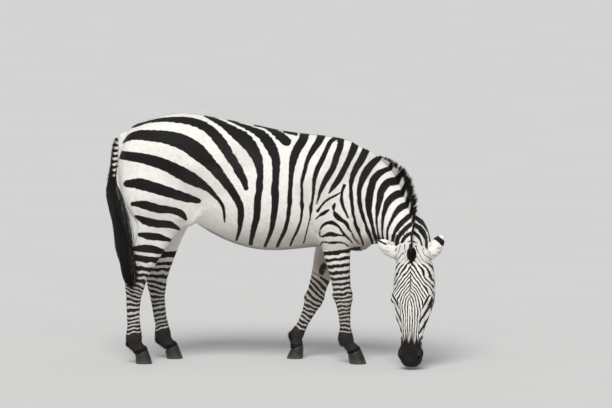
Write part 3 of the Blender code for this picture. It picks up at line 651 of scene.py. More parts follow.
for vertex in skin.data.vertices:
    vertex.co = shaped.find_nearest(vertex.co)[0]
skin.data.shade_smooth()

# The markings. Body stripes are strokes, drawn as centre lines on a chart of the near side as it is
# seen square on: centimetres ahead of ZERO, above the floor, and wide. The far side has their twins,
# a little shifted. Legs have rings, and the face has lines that fan out from the brow.

CHART_TILT = math.radians(5)
CHART_ACROSS, CHART_UP = math.sin(CHART_TILT), math.cos(CHART_TILT)
MIDLINE = (0, 0.08, 0.13, 0.20, 0.27, 0.50), (0.0040, 0.0046, 0.0062, 0.0056, 0.0030, 0.0024)  # half widths
FACE_PITCH = (  # the spacing of the face's lines, down from the poll
    (0.02, 0.08, 0.14, 0.20, 0.26, 0.36, 0.42, 0.52),
    (0.028, 0.026, 0.020, 0.0168, 0.0150, 0.0126, 0.0115, 0.011),
)
STRIPES = {
    "rump_top": ((-76, 123, 0.5), (-63, 126.5, 2.1), (-52.5, 127, 3.2), (-43, 126, 4.2), (-35, 122.5, 4.7),
        (-28.5, 116, 5.3), (-22.5, 107, 4.7), (-17, 98, 3.9), (-14.5, 91, 2.6)),
    "rump_high": ((-79.5, 115, 1.1), (-75, 118, 3.7), (-65.5, 118.5, 5.3), (-55, 117.5, 6.3),
        (-46, 114.5, 7.4), (-39, 109.5, 7.4), (-33, 103.5, 5.8), (-26, 95, 4.7), (-20.5, 87.5, 4.2),
        (-17.5, 81.5, 3.7), (-17.5, 74.5, 3.2), (-18.5, 68, 2.1), (-20.5, 62.5, 1.6)),
    "rump_low": ((-80, 108.5, 4.4), (-73.5, 107.5, 4.8), (-65.5, 106, 5.3), (-57.5, 103.5, 5.8),
        (-49.5, 99.5, 6.3), (-42, 95.5, 6.1), (-35.5, 91.5, 3.7), (-31, 87.5, 2.6), (-27.5, 83, 2.1),
        (-26, 77.5, 1.8), (-26, 73.5, 1.1)),
    "thigh_1": ((-77, 93.5, 3.2), (-71, 93.5, 4.7), (-63, 91.5, 5), (-55, 89, 4.7), (-47, 86.5, 4.2),
        (-39.5, 84.5, 2.6)),
    "thigh_2": ((-74, 83, 2.1), (-68, 82.5, 3.7), (-60.5, 80.5, 3.9), (-53, 79.5, 3.2), (-48, 77.5, 3.2),
        (-46, 75, 1.6)),
    "thigh_3": ((-72.5, 76.5, 1.6), (-67, 74, 3.7), (-60.5, 72.5, 3.7), (-54, 72, 3.2), (-48.5, 69, 1.1)),
    "thigh_4": ((-70.5, 67, 2.1), (-65.5, 66, 3.4), (-60.5, 65.5, 3.2), (-53, 63.5, 1.3)),
    "thigh_5": ((-73, 59.5, 2.6), (-66.5, 59.5, 3.7), (-60.5, 58.5, 3.2), (-55, 56.5, 1.1)),
    "barrel_1": ((-36.5, 129, 1.1), (-31.5, 127, 2.6), (-26, 124, 3.7), (-21, 120.5, 5.3),
        (-15.5, 116.5, 6.8), (-12, 112.5, 6.3), (-9, 107, 5.3), (-7.5, 101, 3.9), (-7.5, 93, 3.4),
        (-8.5, 85, 3.7), (-9, 77, 3.7), (-10.5, 70.5, 3.2), (-12, 64, 2.6), (-13, 58, 2.1)),
    "barrel_2": ((-24.5, 127, 0.8), (-18, 124.5, 2.1), (-12, 122, 3.2), (-6.5, 119, 4.7), (-2.5, 114, 5.5),
        (0.5, 107.5, 4.7), (1, 99.5, 3.9), (0.5, 90.5, 3.7), (0.5, 82.5, 3.7), (-0.5, 74.5, 3.2),
        (-1.5, 69, 2.6), (-3.5, 64, 2.1), (-6, 58, 1.8)),
    "barrel_3": ((-10.5, 124, 1.1), (-5, 123, 1.6), (-0.5, 121, 3.2), (3.5, 118, 4.7), (6.5, 115.5, 4.7)),
    "barrel_spot": ((5.5, 121, 2.1), (11.5, 119.5, 2.1)),
    "barrel_4": ((16.5, 122, 4.7), (15, 116.5, 4.7), (12, 111.5, 4.5), (10, 106, 4.2), (9, 99.5, 2.9),
        (8.5, 92, 2.6), (8, 83.5, 2.4), (7, 74.5, 2.4), (5.5, 69, 2.4), (3, 64, 2.1), (0.5, 58, 1.8)),
    "barrel_5": ((25.5, 121, 4.7), (23.5, 116, 3.9), (20.5, 111.5, 3.4), (17.5, 106, 2.6), (16, 100.5, 2.4),
        (14.5, 94, 2), (14.5, 85, 1.8), (14, 75.5, 1.7), (12, 69, 1.8), (9.5, 64, 1.6), (7.5, 58, 1.8)),
    "barrel_6": ((34, 118.5, 2.1), (29.5, 115.5, 2.6), (27.5, 111.5, 2.6), (25, 106, 2.9), (22.5, 101, 2.9),
        (21, 95.5, 2.4), (20.5, 89, 2), (19.5, 82.5, 1.6), (18.5, 74.5, 1.3), (17, 68.5, 1.2),
        (15, 61, 1.3)),
    "shoulder_1": ((35, 119.5, 3.7), (34.5, 113, 3.4), (32.5, 107.5, 3.4), (31, 102.5, 3.2),
        (27.5, 96.5, 3.2), (24.5, 90.5, 2.4), (23, 86, 1.5), (22.2, 83, 0.6)),
    "shoulder_2": ((43.5, 118, 3.7), (41.5, 111.5, 3.9), (39, 106, 3.2), (36.5, 101, 3.2),
        (33.5, 95.5, 3.2), (31, 92, 2.6), (28.5, 88.5, 1.1)),
    "neck_1": ((49, 113, 3.7), (45.5, 106, 3.7), (42.5, 101, 3.2), (40.5, 95.5, 2.6), (40, 90.5, 2.1),
        (40.5, 85, 2.1), (41, 79.5, 2.1), (42, 74.5, 2.1), (44, 68.5, 2.4), (47, 61, 2.4), (50, 54, 1.6)),
    "neck_2": ((56, 108, 2.6), (50.5, 103, 3.7), (48, 99.5, 3.9), (46, 95.5, 3.4), (44.5, 90.5, 2.6),
        (44.5, 85, 2.4), (45.5, 79.5, 2.4), (47, 74.5, 2.6), (49, 68.5, 2.6), (52, 61, 2.6), (55, 52, 1.8)),
    "neck_3": ((64.5, 102.5, 1.8), (58, 100.5, 2.6), (54.5, 98.5, 3.4), (52, 95.5, 3.7), (50.5, 90.5, 3.7),
        (49.5, 85, 3.7), (49.5, 79.5, 3.2), (50.5, 74.5, 3.2), (52, 68.5, 2.6), (54.3, 60, 2.2),
        (57, 50, 1.6)),
    "neck_4": ((71, 98.5, 3.2), (64, 95, 3.7), (59.5, 94, 3.7), (56.5, 90.5, 3.7), (55, 85, 3.2),
        (54, 79.5, 2.6), (53.5, 74.5, 2.1), (55, 64, 1.8), (59, 49, 1.6)),
    "neck_5": ((75, 93.5, 3.2), (68.5, 89, 3.2), (63.5, 87.5, 3.4), (59.5, 84, 3.2), (57.5, 79, 2.6),
        (56.5, 73.5, 2.4), (57, 63, 1.8), (61.5, 48, 1.6)),
    "neck_6": ((76, 87, 2.6), (69.5, 82.5, 2.9), (66, 81, 2.9), (63, 77.5, 2.6), (61, 74, 2.4),
        (59, 69, 2.1), (59.3, 62, 1.6), (64, 48, 1.6)),
    "neck_7": ((75, 79.5, 2.1), (68.5, 75, 2.4), (65, 71.5, 2.4), (62.5, 67.5, 2.1), (61.5, 61, 1.6),
        (66, 49, 1.4)),
    "neck_8": ((74.5, 74.5, 1.8), (69.5, 71, 2.1), (66, 67.5, 2.1), (64, 64, 1.8), (64, 58, 1.5),
        (68, 50, 1.3)),
    "neck_9": ((74.5, 68.8, 1.6), (69, 66.5, 1.8), (66.5, 63, 1.6), (67, 57, 1.3), (70, 51, 1.1)),
    "neck_10": ((74, 64.6, 1.3), (69, 62.5, 1.3), (66, 60, 1.1)),
    "point_1": ((34.5, 88.8, 1.2), (31, 86.8, 1.7), (27.5, 84.9, 1.8), (24.8, 82.2, 1.6), (22.6, 79.2, 0.8)),
    "point_2": ((36.5, 92.5, 2.1), (35.2, 88, 1.9), (35.2, 84.5, 2), (36.5, 80.5, 1.9), (38.6, 75.8, 0.9)),
    "point_3": ((31.7, 83.2, 1.4), (31, 81.2, 2.3), (30.9, 79.5, 1.4)),
    "point_4": ((21.8, 75.2, 0.6), (24, 77, 1.2), (26.2, 78.4, 1.8), (28.3, 79.8, 1.6)),
    "point_5": ((31.2, 78.8, 1.6), (32.3, 77.2, 2.7), (35, 74.8, 2), (37.5, 72.6, 2), (39.3, 69.5, 1.5),
        (41.5, 66, 1.4), (44, 62.5, 1.3), (46.3, 59.9, 1.2)),
    "arm_1": ((23.7, 66, 1.2), (23.9, 68.5, 1.4), (25, 71.2, 1.7), (27.2, 72.8, 2.2), (29.8, 73, 2.2),
        (32.4, 72, 1.9), (34.6, 69.9, 1.6), (36.4, 67.3, 1.6), (38.6, 65.2, 1.6), (40.8, 62.5, 1.1)),
    "arm_2": ((24.4, 65.6, 0.8), (26.6, 66.5, 1.9), (29.2, 67.2, 2.9), (32.3, 66.8, 2.2), (35.4, 66.4, 1.2),
        (38, 66, 1.2)),
    "arm_3": ((24.2, 61.4, 0.8), (25.3, 63, 1.1), (27.5, 62.9, 1.4), (30.5, 62.5, 2), (33.6, 62.9, 1.7),
        (36.2, 62.3, 1.5), (38.9, 60.7, 1.2), (40.6, 59.4, 0.9)),
}

# each group's strokes are drawn wider by this, because the hair's edges take some of them away
BOLDER = {
    "rump": 1.17, "thigh": 1.32, "barrel": 1.16, "shoulder": 1.20, "neck": 1.25, "point": 1.1, "arm": 1.1,
}
THINNEST = 0.0160  # no stroke is narrower than this, so that the skin's mesh can carry it
OUTSIDE = -0.03  # the depth of a place that is far from every stroke
WIPE = 0.04  # taken from the depth where no stroke may show

# the middles of the dark rings of each leg, in centimetres up its line from the floor
RINGS = {
    "fore_right": (16, 18.1, 20.3, 22.4, 24.5, 26.6, 28.7, 30.8, 32.9, 35, 36.9, 39.8, 42.4, 45.3, 48.2,
        51.9, 55.6, 59),
    "fore_left": (15.5, 17.5, 19.5, 21.4, 23.5, 25.6, 27.7, 29.8, 32.4, 35.1, 37.7, 40.8, 44, 47.4, 51, 55,
        59),
    "hind_right": (15.8, 17.7, 19.8, 21.9, 23.5, 25.6, 28.5, 31.4, 33.5, 35.6, 37.7, 39.3, 41.4, 44.5, 47.4,
        50.3, 55.2),
    "hind_left": (15.6, 17.6, 19.4, 21.5, 23.6, 26.2, 28.9, 31, 33.2, 35.3, 37.9, 40.5, 44.2, 47.9, 50.5,
        55.2),
}

# the neck's line from the trunk to the poll: place, and the way that the crest faces
NECK = [
    ((0.330, 0.000, 0.872), (0.05, 0.00, 1.00)),
    ((0.430, 0.000, 0.862), (0.08, 0.00, 1.00)),
    ((0.500, -0.008, 0.842), (0.20, 0.00, 0.98)),
    ((0.556, -0.030, 0.806), (0.38, -0.05, 0.92)),
    ((0.606, -0.072, 0.764), (0.46, -0.25, 0.85)),
    ((0.658, -0.128, 0.718), (0.42, -0.50, 0.75)),
    ((0.700, -0.185, 0.662), (0.22, -0.78, 0.58)),
    ((0.720, -0.232, 0.600), (-0.02, -0.92, 0.35)),
    ((0.730, -0.262, 0.530), (-0.12, -0.96, 0.15)),
]
NECK_PLACES = 81  # how many places stand for the neck's line
neck_keys = np.linspace(0, 1, NECK_PLACES)
neck_rows = through(np.linspace(0, 1, len(NECK)), [(*place, *way) for place, way in NECK], neck_keys)
NECK_LINE = neck_rows[:, :3] + ORIGIN
NECK_ALONG = unit(np.gradient(NECK_LINE, axis=0))
crest = neck_rows[:, 3:]
NECK_CREST = unit(crest - NECK_ALONG * np.sum(crest * NECK_ALONG, axis=1, keepdims=True))
NECK_SIDE = np.cross(NECK_CREST, NECK_ALONG)  # to the zebra's left
ABOVE_NECK = 0.36  # far enough from the neck's line to be outside the skin
CREST_FROM = 34  # the place on the neck's line behind which the chart needs no crest

# where the crest of the neck lies on the chart: above the floor, and ahead
crest_hits = [
    tuple(shaped.ray_cast(Vector(place + way * ABOVE_NECK), Vector(-way))[0])
    for place, way in zip(NECK_LINE, NECK_CREST)
]
crest_hits = np.array(crest_hits)[:CREST_FROM:-1] - ORIGIN
CREST_UP = crest_hits[:, 2] * CHART_UP + crest_hits[:, 1] * CHART_ACROSS
CREST_AHEAD = crest_hits[:, 0]


def neck_station(points):
    """The nearest place on the neck's line, as an index, for each point."""
    best = np.zeros(len(points), int)
    least = np.full(len(points), 1e9)
    for k, place in enumerate(NECK_LINE):
        away = np.abs((points - place) @ NECK_ALONG[k]) + 0.1 * np.linalg.norm(points - place, axis=1)
        closer = away < least
        best[closer] = k
        least[closer] = away[closer]
    return best


def aside_of_neck(points):
    """How far each point lies to the left of the neck's own mid line, and its twin on the right."""
    k = neck_station(points)
    aside = np.sum((points - NECK_LINE[k]) * NECK_SIDE[k], axis=1)
    return aside, points - NECK_SIDE[k] * 2 * aside[:, None]


def charted(points):
    """Each point's place on the side chart, with the far side's points folded over to the near one."""
    x = points[:, 0] - ZERO.x
    far = points[:, 1] > MID_Y
    y = -np.abs(points[:, 1] - MID_Y)
    flat = np.stack([x, y, points[:, 2]], axis=1)
    on_neck = x > 0.43
    aside, twin = aside_of_neck(points[on_neck])
    folded = np.where((aside > 0)[:, None], twin, points[on_neck])
    flat[on_neck] = folded - ORIGIN
    far[on_neck] = aside > 0
    along = flat[:, 0]
    up = flat[:, 2] * CHART_UP + flat[:, 1] * CHART_ACROSS
    # on the far side of the lowered neck the bands mirror the near ones about the crest
    own_up = points[:, 2] * CHART_UP + (points[:, 1] - ZERO.y) * CHART_ACROSS
    across_crest = 2 * np.interp(own_up, CREST_UP, CREST_AHEAD) - x
    lowered = np.zeros(len(points))
    lowered[on_neck] = fade(neck_station(points[on_neck]) / (NECK_PLACES - 1), 0.45, 0.65) * (aside > 0)
    along = along * (1 - lowered) + across_crest * lowered
    up = up * (1 - lowered) + own_up * lowered
    shift = np.where(far, fade(1.25 - up, 0.0, 0.25), 0.0) * (1 - lowered)
    along = along + shift * 0.013 * np.sin(up * 9 + 1.0)
    up = up + shift * 0.010 * np.sin(along * 7 + 2.0)
    return np.stack([along, up], axis=1)


def stroke_depth(places):
    """How far inside the nearest dark stroke each chart place lies, in metres; negative outside."""
    depth = np.full(len(places), OUTSIDE)
    for name, stroke in STRIPES.items():
        stroke = np.array(stroke) / 100
        bolder = BOLDER[name.split("_")[0]]
        if name.startswith("neck"):
            broad_part = np.maximum(fade(stroke[:, 1], 0.70, 0.84), fade(stroke[:, 0], 0.60, 0.66))
            bolder = 0.80 + (bolder - 0.80) * broad_part
            bolder = bolder * (1 + 0.13 * fade(stroke[:, 0], 0.54, 0.66))
        stroke[:, 2] = np.maximum(stroke[:, 2] * bolder + 0.001, THINNEST)
        steps = np.linalg.norm(np.diff(stroke[:, :2], axis=0), axis=1)
        keys = np.concatenate([[0], np.cumsum(steps)])
        line = through(keys, stroke, np.linspace(0, keys[-1], max(4, int(keys[-1] / 0.004))))
        low = line[:, :2].min(axis=0) - 0.06
        high = line[:, :2].max(axis=0) + 0.06
        near = np.flatnonzero(np.all((places > low) & (places < high), axis=1))
        for part in np.array_split(near, max(1, len(near) // 20000)):
            gap = np.linalg.norm(places[part, None] - line[None, :, :2], axis=2)
            depth[part] = np.maximum(depth[part], (line[:, 2] / 2 - gap).max(axis=1))
    return depth


def markings(points):
    """The coat's pattern at each point.

    It is the depth in a stroke, two sets of rings with their dark shares, plain black, and a greying that is
    partly painted shade, partly a painted highlight and partly grey hair.
    """
    a, b, c = on_head(points).T
    side = np.abs(b)
    on_ear = ear_share(points)
    x, y, z = (points - ORIGIN).T
    on_face = fade((a - 0.04) * 0.80 + (c + 0.13) * 0.60, -0.008, 0.020) * (x > 0.52)

    # the trunk and the neck: the strokes, the dark lines of back and belly, and the places without any
    depth = stroke_depth(charted(points + 0.0016 * wander(points, 0.03, 3)[:, None]))
    spine = np.where((x > -0.78) & (x < 0.40) & (z > 1.0), 0.0105 - np.abs(y), OUTSIDE)
    belly = np.where((x > -0.30) & (x < 0.25) & (z < 0.72), 0.012 - np.abs(y), OUTSIDE)
    depth = np.maximum(depth, np.maximum(spine, belly))
    beyond = x - np.interp(z * CHART_UP + y * CHART_ACROSS, CREST_UP, CREST_AHEAD)
    depth = depth - 0.0026 * fade(beyond, 0.0, 0.03) * (x > 0.60)
    between = fade(0.085 - np.abs(y), 0, 0.03) * fade(-x, 0.44, 0.50) * fade(0.98 - z, 0, 0.05)
    rear = fade(-x, 0.735, 0.765) * fade(0.085 - np.abs(y), 0, 0.02) * fade(1.13 - z, 0, 0.03)
    under = fade(0.11 - np.abs(y), 0, 0.06) * fade(0.74 - z, 0, 0.04) * fade(x, -0.48, -0.42) * (x < 0.5)
    depth -= WIPE * np.maximum(np.maximum(between, rear), under * 0.8 * (belly < -0.004))

    # the legs: rings that slope at the joints, black pasterns, and the bare ovals inside the forearms
    ring = np.zeros(len(points))
    share = np.zeros(len(points))
    black = np.zeros(len(points))
    for leg, (leg_y, _) in LEGS.items():
        hind = leg.startswith("hind")
        up, ahead, aside = leg_line(points, leg)
        outward = aside * math.copysign(1, leg_y)
        near = (np.abs(aside) < 0.10) & (np.abs(ahead) < 0.13) & (up < 0.62) & (x < 0.5)
        slant = 0.34 * bell(up - (0.385 if hind else 0.20), 0.055)
        if leg == "fore_left":
            slant += 0.62 * bell(up - 0.385, 0.07)
        rise = up + slant * ahead + 0.0035 * wander(points, 0.05, 11) + 0.0022 * wander(points, 0.022, 12)
        heights = np.array(RINGS[leg]) / 100
        phase = np.interp(rise, heights, np.arange(len(heights)))
        here = fade((0.575 if hind else 0.605) - up, 0.0, 0.016)
        pale = fade(up, 0.42, 0.46) * fade(-outward, -0.01, 0.02) * (leg == "fore_left")
        wide = 0.60 + 0.04 * fade(0.42 - up, 0, 0.06) + 0.16 * fade(0.25 - up, 0, 0.11)
        wide = (wide + 0.07 * wander(points, 0.06, 17)) * here * (1 - pale)
        ring = np.where(near, phase, ring)
        share = np.where(near, wide, share)
        depth = np.where(near, depth - WIPE * fade((0.585 if hind else 0.615) - up, 0.0, 0.02), depth)
        if hind:
            within = fade(-outward, -0.01, 0.012) * fade(0.67 - up, 0, 0.04)
            depth = depth - WIPE * within * (np.abs(aside) < 0.12) * (np.abs(ahead) < 0.17)
        black = np.where(near, np.maximum(black, fade(0.142 - up, 0, 0.035)), black)
        if not hind:
            oval = ((up - 0.480) / 0.034) ** 2 + (ahead / 0.019) ** 2
            inner = near & (outward < -0.01)
            black = np.where(inner, np.maximum(black, fade(1.15 - oval, 0, 0.3)), black)

    # the dock's uneven bars
    dock = (x < -0.818) & (z > 0.94) & (np.abs(y + 0.01) < 0.055)
    bars = (z + 0.3 * np.abs(y + 0.01) + 0.002 * wander(points, 0.02, 5)) / 0.028
    ring = np.where(dock, bars, ring)
    share = np.where(dock, 0.60 + 0.55 * fade(-x, 0.842, 0.858), share)
    depth = np.where(dock, OUTSIDE, depth)

    # the face: lines that leave the midline like barbs, and then run straight down the nose
    rise = 0.5 * (0.248 - a + np.sqrt((0.248 - a) ** 2 + 0.020**2))
    below_cheek = np.maximum(-c - 0.05, 0)
    past_nose = np.maximum(side - 0.036, 0)
    pitch = through(*FACE_PITCH, np.clip(a, 0.02, 0.52))[:, 0]
    fan = side / pitch + np.interp(rise, (0, 0.120, 0.25), (0, 6.0, 10.6))
    fan += 0.5 * (b > 0) * fade(0.34 - a, 0, 0.10)
    fan += 0.20 * wander(points, 0.060, 23) + 0.07 * wander(points, 0.018, 24)
    run = a + 1.9 * side + 0.35 * np.minimum(c + 0.06, 0) + 0.004 * wander(points, 0.05, 29)
    cheek = np.interp(run, (-0.16, 0.34, 0.405, 0.455, 0.507, 0.547, 0.580, 0.610, 0.64), (-10, *range(8)))
    seam = side - np.interp(a, [0.22, 0.24, 0.30, 0.36, 0.42], [0.096, 0.074, 0.058, 0.049, 0.044])
    seam = np.where(a < 0.22, -0.1, seam)
    behind = -c - 0.085 - 0.9 * np.maximum(0.13 - a, 0)
    to_cheek = np.maximum(fade(seam, -0.008, 0.008), fade(behind, -0.018, 0.018))
    low = fade(0.462 - a + 1.5 * past_nose + 0.7 * below_cheek, 0, 0.03)
    by_ears = fade(0.072 - a, 0, 0.018) * fade(side, 0.012, 0.022)
    fan_share = 0.49 + 0.06 * fade(0.16 - a, 0, 0.08) + 0.06 * wander(points, 0.03, 25)
    fan_share *= (1 - 0.70 * by_ears) * (1 - fade(to_cheek, 0.25, 0.75)) * low
    ring = np.where(on_face > 0, fan, ring)
    share = share * (1 - fade(on_face, 0, 0.3)) + fan_share * fade(on_face, 0.3, 1)
    share_two = 0.48 * fade(to_cheek, 0.35, 0.8) * low * fade(on_face, 0.3, 1)
    midline = np.where((a > 0.02) & (a < 0.43), through(*MIDLINE, np.clip(a, 0, 0.5))[:, 0] - side, OUTSIDE)
    drop = 0.018 - np.hypot((a - 0.030) * 0.55, b)
    depth = depth - WIPE * fade(on_face, 0.2, 0.8)
    depth = np.maximum(depth, np.where(on_face > 0.2, np.maximum(midline, drop), OUTSIDE))
    streaks = 0.020 * wander(points * (1, 1, 0.2), 0.018, 31)
    muzzle = fade(a + streaks - 1.4 * past_nose - 0.65 * below_cheek, 0.420, 0.462)
    u, v, w = eye_frame(points)
    lids = fade(1.0 - np.hypot(u / 0.031, (v - 0.001) / 0.020), -0.05, 0.14)
    lids *= near_eyes(points, 0.05) & (w > -0.012)
    black = np.where(on_face > 0.5, np.maximum(muzzle, lids), black)

    # the ears: white backs, a dark band or streak short of the tip, grey at the root
    t = ear_along(points)
    mark_at = np.where(b > 0, 0.80, 0.90)
    band = 0.085 - np.abs(t - mark_at) + 0.03 * wander(points, 0.04, 7)
    streak = 0.0060 - np.abs(z - 0.666 + 0.46 * (x - 0.543)) - 0.5 * np.maximum(x - 0.580, 0)
    band = np.where(b > 0, band, streak / 0.12)
    depth = depth * (1 - on_ear) + on_ear * np.clip(band * 0.12, OUTSIDE, 0.004)
    share = share * (1 - on_ear)
    share_two = share_two * (1 - on_ear)

    # greying: painted shade under the belly and chest, inside the thighs, in the flank, behind the buttocks
    # and down the legs; grey hair in random patches, above the muzzle and at the ear roots; a painted
    # highlight by the nostrils
    painted_light_and_grey = 0.85 * under + 0.6 * between + 0.72 * fade(0.64 - z, 0, 0.24) * (x < 0.5)
    painted_light_and_grey += 0.62 * fade(0.76 - z, 0, 0.14) * fade(x, -0.50, -0.40) * (x < 0.5) * (z > 0.60)
    painted_light_and_grey += 0.45 * fade(-x, 0.775, 0.805) * fade(1.20 - z, 0, 0.2)
    painted_light_and_grey += 0.5 * fade(0.70 - z, 0, 0.05) * fade(x, 0.38, 0.44) * (x < 0.52)
    painted_light_and_grey += 0.30 * fade(wander(points, 0.35, 37), 0.2, 0.9)
    above_muzzle = fade(a, 0.36, 0.43) * fade(0.036 - side, 0, 0.02) * fade(0.47 - a, 0, 0.03)
    painted_light_and_grey = np.maximum(painted_light_and_grey, 0.8 * on_face * above_muzzle)
    # a painted highlight: grey laid on the black round the middle of the nostril, so that its rim shows
    at_nostril = np.linalg.norm(np.stack([a, side, c], axis=1) - nostril_line[20], axis=1)
    nostril_highlight = fade(0.030 - at_nostril, 0, 0.015) * (0.8 + 0.4 * wander(points, 0.02, 33))
    painted_light_and_grey = np.maximum(painted_light_and_grey, on_face * nostril_highlight)
    ear_root = fade(wander(points, 0.03, 9) + 0.9 * (0.45 - t), 0.35, 0.8)
    painted_light_and_grey = np.maximum(painted_light_and_grey * (1 - on_ear), on_ear * 0.75 * ear_root)
    return {
        "stroke": depth,
        "ring": ring,
        "share": share,
        "cheek": cheek,
        "cheek_share": share_two,
        "black": black,
        "painted_light_and_grey": np.clip(painted_light_and_grey, 0, 1),
    }


def mark(mesh, fields):
    """Writes the pattern on to a mesh, one value for each vertex."""
    for name, values in fields.items():
        layer = mesh.attributes.get(name) or mesh.attributes.new(name, "FLOAT", "POINT")
        layer.data.foreach_set("value", np.asarray(values, np.float32))


# Zebra hide: short flat hair, which gives a soft sheen and no gloss. White hair is a warm off-white,
# dark hair a brown black; painted shade and grey hair grey the white, and a painted highlight greys the black
# by the nostrils. Single hairs are finer than shows, so the grain is drawn about 2 mm coarse, and the clumps
# 17 mm.
HAIR_EDGE = 0.0024  # metres over which a stripe's edge turns from white to black


def coat_material(name, bump, dark_tips=False):
    """The coat's colours from the pattern's values on the mesh, with the hair's own grain."""
    made, tree, shader = new_material(name)
    keys = ("stroke", "ring", "share", "cheek", "cheek_share", "black", "painted_light_and_grey", "reach")
    given = {key: add_node(tree, "Attribute", {"attribute_name": key}, {}, "Fac") for key in keys}
    place = add_node(tree, "TexCoord", {}, {}, "Object")
    hair = add_node(tree, "TexNoise", {}, {"Vector": place, "Scale": 420.0, "Detail": 2.0}, "Fac")
    clumps = add_node(tree, "TexNoise", {}, {"Vector": place, "Scale": 60.0, "Detail": 4.0}, "Fac")
    add, scaled = {"operation": "ADD"}, {"operation": "MULTIPLY_ADD"}
    clamped, larger = {"operation": "MULTIPLY_ADD", "use_clamp": True}, {"operation": "MAXIMUM"}
    ragged = add_node(tree, "Math", scaled, {0: hair, 1: 0.0022, 2: -0.0011}, 0)
    inside = add_node(tree, "Math", add, {0: given["stroke"], 1: ragged}, 0)
    stroke = add_node(tree, "Math", clamped, {0: inside, 1: 1 / HAIR_EDGE, 2: 0.5}, 0)
    dark = add_node(tree, "Math", larger, {0: stroke, 1: given["black"]}, 0)
    for rings, share in (("ring", "share"), ("cheek", "cheek_share")):
        turn = add_node(tree, "Math", add, {0: given[rings], 1: 0.5}, 0)
        turn = add_node(tree, "Math", {"operation": "FRACT"}, {0: turn}, 0)
        off = add_node(tree, "Math", {"operation": "SUBTRACT"}, {0: turn, 1: 0.5}, 0)
        off = add_node(tree, "Math", {"operation": "ABSOLUTE"}, {0: off}, 0)
        half = add_node(tree, "Math", {"operation": "MULTIPLY"}, {0: given[share], 1: 0.5}, 0)
        within = add_node(tree, "Math", {"operation": "SUBTRACT"}, {0: half, 1: off}, 0)
        ragged = add_node(tree, "Math", scaled, {0: hair, 1: 0.10, 2: -0.05}, 0)
        within = add_node(tree, "Math", add, {0: within, 1: ragged}, 0)
        ring = add_node(tree, "Math", clamped, {0: within, 1: 14.0, 2: 0.5}, 0)
        there = add_node(tree, "Math", {"operation": "GREATER_THAN"}, {0: given[share], 1: 0.06}, 0)
        ring = add_node(tree, "Math", {"operation": "MULTIPLY"}, {0: ring, 1: there}, 0)
        dark = add_node(tree, "Math", larger, {0: dark, 1: ring}, 0)
    if dark_tips:
        uneven = add_node(tree, "Math", scaled, {0: clumps, 1: 0.35, 2: given["reach"]}, 0)
        tip = add_node(tree, "Math", clamped, {0: uneven, 1: 6.0, 2: -4.1}, 0)
        dark = add_node(tree, "Math", larger, {0: dark, 1: tip}, 0)
    white = {"Factor": clumps, "A": linear("D9D5CD"), "B": linear("F1EEE8")}
    white = add_node(tree, "Mix", BLEND, white, "Result")
    # painted shade and grey hair: the white is greyed where the greying value is high
    white = {"Factor": given["painted_light_and_grey"], "A": white, "B": linear("A39C92")}
    white = add_node(tree, "Mix", BLEND, white, "Result")
    black = {"Factor": clumps, "A": linear("0D0B0A"), "B": linear("1C1917")}
    black = add_node(tree, "Mix", BLEND, black, "Result")
    # the painted highlight by the nostrils, and a little of the painted shade, lift the black towards grey
    grey = add_node(tree, "Math", {"operation": "MULTIPLY"}, {0: given["painted_light_and_grey"], 1: 0.16}, 0)
    black = add_node(tree, "Mix", BLEND, {"Factor": grey, "A": black, "B": linear("5E5751")}, "Result")
    colour = add_node(tree, "Mix", BLEND, {"Factor": dark, "A": white, "B": black}, "Result")
    tree.links.new(colour, shader.inputs["Base Color"])
    shader.inputs["Roughness"].default_value = 0.62
    shader.inputs["Specular IOR Level"].default_value = 0.14
    shader.inputs["Sheen Weight"].default_value = 0.05
    shader.inputs["Sheen Roughness"].default_value = 0.5
    if bump:
        height = add_node(tree, "Math", add, {0: hair, 1: clumps}, 0)
        raised = add_node(tree, "Bump", {}, {"Height": height, "Strength": 0.5, "Distance": 0.0012}, "Normal")
        tree.links.new(raised, shader.inputs["Normal"])
    return made


hide_coat = coat_material("zebra_hide", True)
skin.data.materials.append(hide_coat)
mark(skin.data, markings(read_points(skin.data)))
skin.data.shade_smooth()

skin_points = read_points(skin.data)
unwrap = {"angle_limit": 1.15, "island_margin": 0.002, "scale_to_bounds": True}
edit_all(skin, (bpy.ops.uv.smart_project, unwrap))
skin.data.uv_layers[0].name = "OFBake"
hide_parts(*FLESH)
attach(skin, "root")

# ---- the eyes ---------------------------------------------------------------------------------
# Each eye is a ball with a clearer, steeper cornea in front, a dark brown iris and a long, level
# pupil. It sits behind the lids, deep in its socket.

CORNEA_RISE = 0.0017
# A wet eye: a clear, glossy cornea over a dark brown iris with fine rays, and a blue-black pupil.
eye_matter, tree, shader = new_material("wet_eye")
gaze = add_node(tree, "Attribute", {"attribute_name": "gaze"}, {}, "Vector")
from_axis = add_node(tree, "VectorMath", {"operation": "LENGTH"}, {0: gaze}, "Value")
rays = add_node(tree, "TexNoise", {}, {"Vector": gaze, "Scale": 900.0, "Detail": 3.0}, "Fac")
level = add_node(tree, "VectorMath", {"operation": "MULTIPLY"}, {0: gaze, 1: (0.55, 1.25, 0.0)}, 0)
level = add_node(tree, "VectorMath", {"operation": "LENGTH"}, {0: level}, "Value")
pupil = add_node(tree, "MapRange", {}, {"Value": level, "From Min": 0.0052, "From Max": 0.0044}, "Result")
rim = add_node(tree, "MapRange", {}, {"Value": from_axis, "From Min": 0.0125, "From Max": 0.0150}, "Result")
iris = add_node(tree, "Mix", BLEND, {"Factor": rays, "A": linear("140B06"), "B": linear("2C1B10")}, "Result")
ball = add_node(tree, "Mix", BLEND, {"Factor": rim, "A": iris, "B": linear("1A1210")}, "Result")
final = add_node(tree, "Mix", BLEND, {"Factor": pupil, "A": ball, "B": linear("060608")}, "Result")
tree.links.new(final, shader.inputs["Base Color"])
shader.inputs["Roughness"].default_value = 0.06
shader.inputs["IOR"].default_value = 1.38
shader.inputs["Specular IOR Level"].default_value = 0.4

